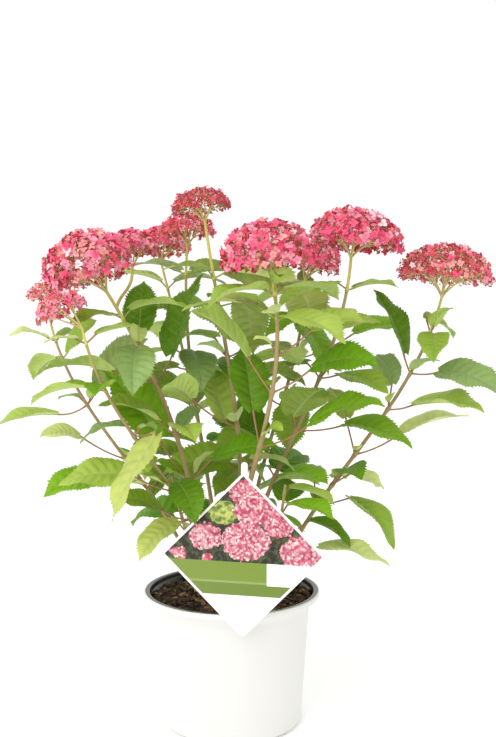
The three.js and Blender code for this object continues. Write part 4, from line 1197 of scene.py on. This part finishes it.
def leaf_finish(name, seen, roughness, veins_seen, sheen):
    """A leaf's skin: its green varies in patches, and its veins are a little paler."""
    material = surface(
        name, seen, roughness, patch=60, shade=0.74, grain=420, relief=0.5, Specular_IOR_Level=sheen,
    )
    tree = material.node_tree
    vein_colour = srgb(*veins_seen)
    green = tree.nodes["Principled BSDF"].inputs["Base Color"]
    cells = {"Vector": wired(tree, "ShaderNodeTexCoord")["Object"], "Scale": LEAF_NET}
    net = wired(tree, "ShaderNodeTexVoronoi", cells, feature="DISTANCE_TO_EDGE")["Distance"]
    span = {"Value": net, "From Max": 0.16, "To Min": 0.3, "To Max": 0}
    thread = wired(tree, "ShaderNodeMapRange", span)["Result"]
    netted = mixed(tree, thread, green.links[0].from_socket, vein_colour)
    vein = wired(tree, "ShaderNodeAttribute", attribute_name="vein")["Fac"]
    tree.links.new(mixed(tree, vein, netted, vein_colour), green)
    return material


for tint, (above, beneath, sheen) in LEAF_GREENS.items():
    own = [number for number, leaf in enumerate(leaves) if leaf["tint"] == tint]
    blades, start = [], 0
    for number in own:
        points, quads, kinds, vein = blade_mesh(leaves[number], random_from(BLADE_SEED + number))
        blades.append((points, quads + start, kinds, vein))
        start += len(points)
    points, quads, kinds, veins = (np.concatenate(parts) for parts in zip(*blades))
    skins = [
        leaf_finish(f"{tint} leaf", above, 0.46, [c * 0.76 + 50 for c in above], sheen),
        leaf_finish(f"{tint} leaf underside", beneath, 0.66, [c * 0.7 + 64 for c in beneath], sheen),
    ]
    mesh = mesh_from(f"foliage_{tint}", points, quads.tolist(), skins, kinds, 75)
    mesh.attributes.new("vein", "FLOAT", "POINT").data.foreach_set("value", veins)
    solids = sorted({f"leaves_{CANES[leaves[number]['stem']]['name']}" for number in own})
    riding(mesh, "leaf", *solids)

leaf_stalks = {"red": [], "green": []}
for leaf in leaves:
    t = np.linspace(0, 1, STALK_STEPS)
    joint, bend = leaf["stalk"][:2]
    sag = np.array((0, 0, -STALK_SAG * leaf["reach"]))
    line = bezier((joint, bend + sag, blade_frame(leaf, 0.0)[0][0]), t)
    radii = 0.85 + 0.75 * np.exp(-((t / 0.09) ** 2)) + 0.2 * t ** 4
    leaf_stalks["green" if line[0, 2] > GREEN_STALKS_FROM else "red"].append((line, radii))
for tone, colour, shade in (("red", (158, 114, 78), 0.8), ("green", (150, 160, 72), 0.85)):
    skin = surface(f"{tone} leaf stalk", colour, 0.5, patch=60, shade=shade, grain=1500, relief=0.08)
    skinned(f"leaf_stalks_{tone}", leaf_stalks[tone], 7, 0.1, skin, "leaf")
rib_skin = surface("leaf midrib", (186, 198, 130), 0.5, patch=60, grain=1500)
skinned("leaf_ribs", [leaf["rib"] for leaf in leaves], 5, 0, rib_skin, "leaf")


# The flower heads: domed clusters on rays that part from the top of each stalk. Each ray parts again
# into small umbels of sterile florets, most with four petal-like sepals, and of tiny fertile buds.
# The rim of a head is open a little way up its front, where its rays show.
FLORETS_PER_AREA = 0.2
FLORET_RADIUS = 4.5
FLORET_KINDS = ((4, 1.0), (4, 2.6), (4, 0.0), (3, 1.6), (5, 0.8), (4, -1.2))
DOME_RISE = 0.70
DOME_SINK = -0.08
SKIRT_CUT = 12
RAYS = 6
RAY_STEPS = 5
MIDDLE_RAY = 0.45
UMBEL_SHARE = 15
UMBEL_DEPTH = 0.66
PEDICEL = 0.34
BUD_PEDICEL = 0.27
HEAD_SEED = 300
GOLDEN_ANGLE = math.pi * (3 - math.sqrt(5))
PINKS = {
    "raspberry": (240, 82, 120),
    "rose": (238, 136, 158),
    "salmon": (242, 152, 148),
    "brick": (210, 70, 82),
    "blush": (248, 204, 206),
}
HEAD_LOOKS = {
    "far_left": (100, 0.5, 0.75, 2.2, (0.2, 0.3, 0.3, 0.2, 0.0)),
    "left": (110, 0.8, 0.9, 1.2, (0.35, 0.4, 0.1, 0.1, 0.05)),
    "left_tall": (112, 1.0, 1.0, 0.8, (0.3, 0.24, 0.32, 0.06, 0.08)),
    "tall": (100, 0.8, 0.56, 4.4, (0.26, 0.02, 0.06, 0.66, 0.0)),
    "front": (118, 1.0, 0.95, 0.9, (0.5, 0.22, 0.14, 0.1, 0.04)),
    "right": (107, 1.0, 1.0, 0.7, (0.52, 0.3, 0.04, 0.08, 0.06)),
    "back_right": (112, 1.0, 0.9, 0.9, (0.56, 0.28, 0.02, 0.14, 0.0)),
    "far_right": (101, 0.8, 0.78, 2.4, (0.26, 0.1, 0.22, 0.34, 0.08)),
    "back": (104, 0.75, 0.85, 1.8, (0.4, 0.2, 0.1, 0.3, 0.0)),
    "back_left": (108, 0.95, 0.95, 0.9, (0.42, 0.4, 0.08, 0.1, 0.0)),
    "fork": (108, 1.0, 0.95, 0.9, (0.38, 0.4, 0.12, 0.1, 0.0)),
}


def dome_place(head, tilt, turn, depth):
    """A point of the dome, tilt radians from its top and turned about its axis, at a share of its depth."""
    level = math.cos(turn) * head["right"] + math.sin(turn) * head["away"]
    rise = DOME_SINK + DOME_RISE * math.cos(tilt)
    place = level * math.sin(tilt) + head["axis"] * rise * head["tall"]
    return head["centre"] + place * head["radius"] * depth


def dome_outward(head, tilt, turn):
    level = math.cos(turn) * head["right"] + math.sin(turn) * head["away"]
    outward = level * math.sin(tilt) + head["axis"] * math.cos(tilt) / (DOME_RISE * head["tall"])
    return outward / np.linalg.norm(outward)


def over_dome(count, most_tilt, draw, jitter):
    """Tilts and turns spread evenly over a dome from its top down to its rim."""
    low = math.cos(math.radians(most_tilt))
    for k in range(count):
        tilt = math.acos(1 - (1 - low) * (k + 0.5) / count) + jitter * (draw() - 0.5)
        yield max(0.02, tilt), k * GOLDEN_ANGLE + jitter * (draw() - 0.5) / max(0.2, math.sin(tilt))


def floret(name, sepals, cup, draw):
    """A sterile floret one unit in radius: thin pointed sepals that overlap, none quite like another."""
    stations = ((0.05, 0.12, 0.0), (0.42, 0.42, 0.12), (0.76, 0.31, 0.17))
    points, faces = [], []
    for k in range(sepals):
        angle = (k + 0.3 * (draw() - 0.5)) * 2 * math.pi / sepals
        reach = 0.88 + 0.3 * draw()
        wide = (0.9 + 0.25 * draw()) * (4 / sepals) ** 0.5
        lift, roll = cup + 1.6 * (draw() - 0.5), 0.9 * (draw() - 0.5)
        start = len(points)
        row = [
            (x * reach, y * wide * side, z * lift * reach + roll * side * y + sink + 0.03 * k * x)
            for x, y, z in stations
            for side, sink in ((-1, 0.03), (0, 0.0), (1, 0.03), (0, -0.03))
        ]
        row.append((1.04 * reach, 0.02, 0.06 * lift + 0.03 * k))
        points += [(*spun(x, y, angle), z) for x, y, z in row]
        for r in range(2):
            for i in range(4):
                a, b = start + r * 4 + i, start + r * 4 + (i + 1) % 4
                faces.append((a, a + 4, b + 4, b))
        tip = start + 12
        faces += [(start + 8 + i, tip, start + 8 + (i + 1) % 4) for i in range(4)]
        faces.append((start, start + 1, start + 2, start + 3))
    return mesh_from(name, points, faces, [], None, 70)


def ray_of(tilt, turn):
    """Which ray bears an umbel: the last one near the top, and one of those around it elsewhere."""
    return RAYS if tilt < MIDDLE_RAY else int((turn % (2 * math.pi)) / (2 * math.pi) * RAYS)


def in_skirt(tilt, turn, most_tilt):
    """Whether a place is in the part of the lower front that a head leaves open."""
    return math.degrees(tilt) > most_tilt - SKIRT_CUT * (1 - math.sin(turn)) / 2


def stem_to(at, towards, umbels, girth):
    """A pedicel from the nearest umbel, which arrives along the way that its floret or bud faces."""
    nearest = min(umbels, key=lambda umbel: np.linalg.norm(umbel[2] - at))[2]
    bend = at - towards * np.linalg.norm(at - nearest) * 0.45
    return bezier((nearest, bend, at), (0, 0.5, 1)), (girth * 1.2, girth, girth)


florets = {pink: [] for pink in PINKS}
dark_buds, olive_buds, hearts = [], [], []
rays, pedicels, pink_pedicels = [], [], []
for number, head in enumerate(heads):
    draw = random_from(HEAD_SEED + number)
    most_tilt, openness, floret_size, budding, weights = HEAD_LOOKS[head["name"]]
    radius, axis, hub = head["radius"], head["axis"], head["hub"]
    count = round(FLORETS_PER_AREA * radius ** 2 * openness * (0.5 + 0.5 * head["tall"]))
    umbels = []
    for tilt, turn in over_dome(max(7, count // UMBEL_SHARE), most_tilt - 8, draw, 0.12):
        umbels.append((tilt, turn, dome_place(head, tilt, turn, UMBEL_DEPTH + 0.08 * (draw() - 0.5))))
    t = np.linspace(0, 1, RAY_STEPS)
    for ray in range(RAYS + 1):
        own = [at for tilt, turn, at in umbels if ray_of(tilt, turn) == ray]
        if not own:
            continue
        parting = hub + (np.mean(own, axis=0) - hub) * (0.42 + 0.1 * draw())
        bend = (hub + parting) / 2 + axis * radius * 0.05
        rays.append((bezier((hub - axis, bend, parting), t), 1.15 - 0.3 * t))
        for at in own:
            bow = (axis * 0.06 + (at - head["centre"]) / radius * 0.05) * radius * (draw() - 0.3)
            rays.append((bezier((parting, (parting + at) / 2 + bow, at), t), 0.75 - 0.3 * t))
    for tilt, turn in over_dome(count, most_tilt, draw, 0.13):
        if in_skirt(tilt, turn, most_tilt):
            continue
        at = dome_place(head, tilt, turn, 0.8 + 0.22 * draw() ** 0.7)
        lean = np.array((draw() - 0.5, draw() - 0.5, draw() - 0.5))
        towards = dome_outward(head, tilt, turn) + lean * 1.5
        towards /= np.linalg.norm(towards)
        pink = list(PINKS)[int(np.searchsorted(np.cumsum(weights), draw() * 0.9999, side="right"))]
        size = FLORET_RADIUS * floret_size * (0.78 + 0.46 * draw())
        florets[pink].append((at, towards, draw() * math.pi, size, int(draw() * len(FLORET_KINDS))))
        hearts.append((at + towards * 0.5, towards, 0, 0.9 + 0.3 * draw(), 0))
        (pedicels if draw() < 0.4 else pink_pedicels).append(stem_to(at, towards, umbels, PEDICEL))
    for tilt, turn in over_dome(round(count * budding), most_tilt + 4, draw, 0.3):
        if in_skirt(tilt, turn, most_tilt + 4):
            continue
        at = dome_place(head, tilt, turn, 0.84 + 0.13 * draw())
        outward = dome_outward(head, tilt, turn)
        bud = (at, outward, draw() * 6, 1.5 + 0.8 * draw(), 0)
        (dark_buds if draw() < 0.44 + 0.12 * budding else olive_buds).append(bud)
        if draw() < 0.75:
            pedicels.append(stem_to(at, outward, umbels, BUD_PEDICEL))

draw = random_from(77)
floret_shapes = [floret(f"floret {i}", sepals, cup, draw) for i, (sepals, cup) in enumerate(FLORET_KINDS)]
bud_shape = [lump("bud", (1, 1, 1.15), random_from(3), 1, 0.06)]
head_solids = [f"bloom_{head['name']}" for head in heads]
for pink, colour in PINKS.items():
    petal = surface(f"{pink} sepals", colour, 0.55, patch=380, shade=0.72, relief=0.06)
    set_out(f"florets_{pink}", floret_shapes, florets[pink], petal, "blossom", *head_solids)
for name, places, colour, roughness, shade in (
    ("buds_dark", dark_buds, (180, 60, 70), 0.45, 0.75),
    ("buds_olive", olive_buds, (206, 142, 108), 0.5, 0.8),
    ("floret_hearts", hearts, (206, 120, 110), 0.5, 0.85),
):
    skin = surface(name.replace("_", " "), colour, roughness, patch=300, shade=shade)
    set_out(name, bud_shape, places, skin, "blossom")
for name, paths, sides, relief, colour, roughness, shade in (
    ("head_rays", rays, 6, 0.05, (206, 192, 124), 0.5, 0.88),
    ("pedicels_cream", pedicels, 3, 0, (224, 194, 148), 0.55, 0.85),
    ("pedicels_pink", pink_pedicels, 3, 0, (216, 110, 112), 0.55, 0.85),
):
    skin = surface(name.replace("_", " "), colour, roughness, patch=120, shade=shade)
    skinned(name, paths, sides, relief, skin, "blossom")
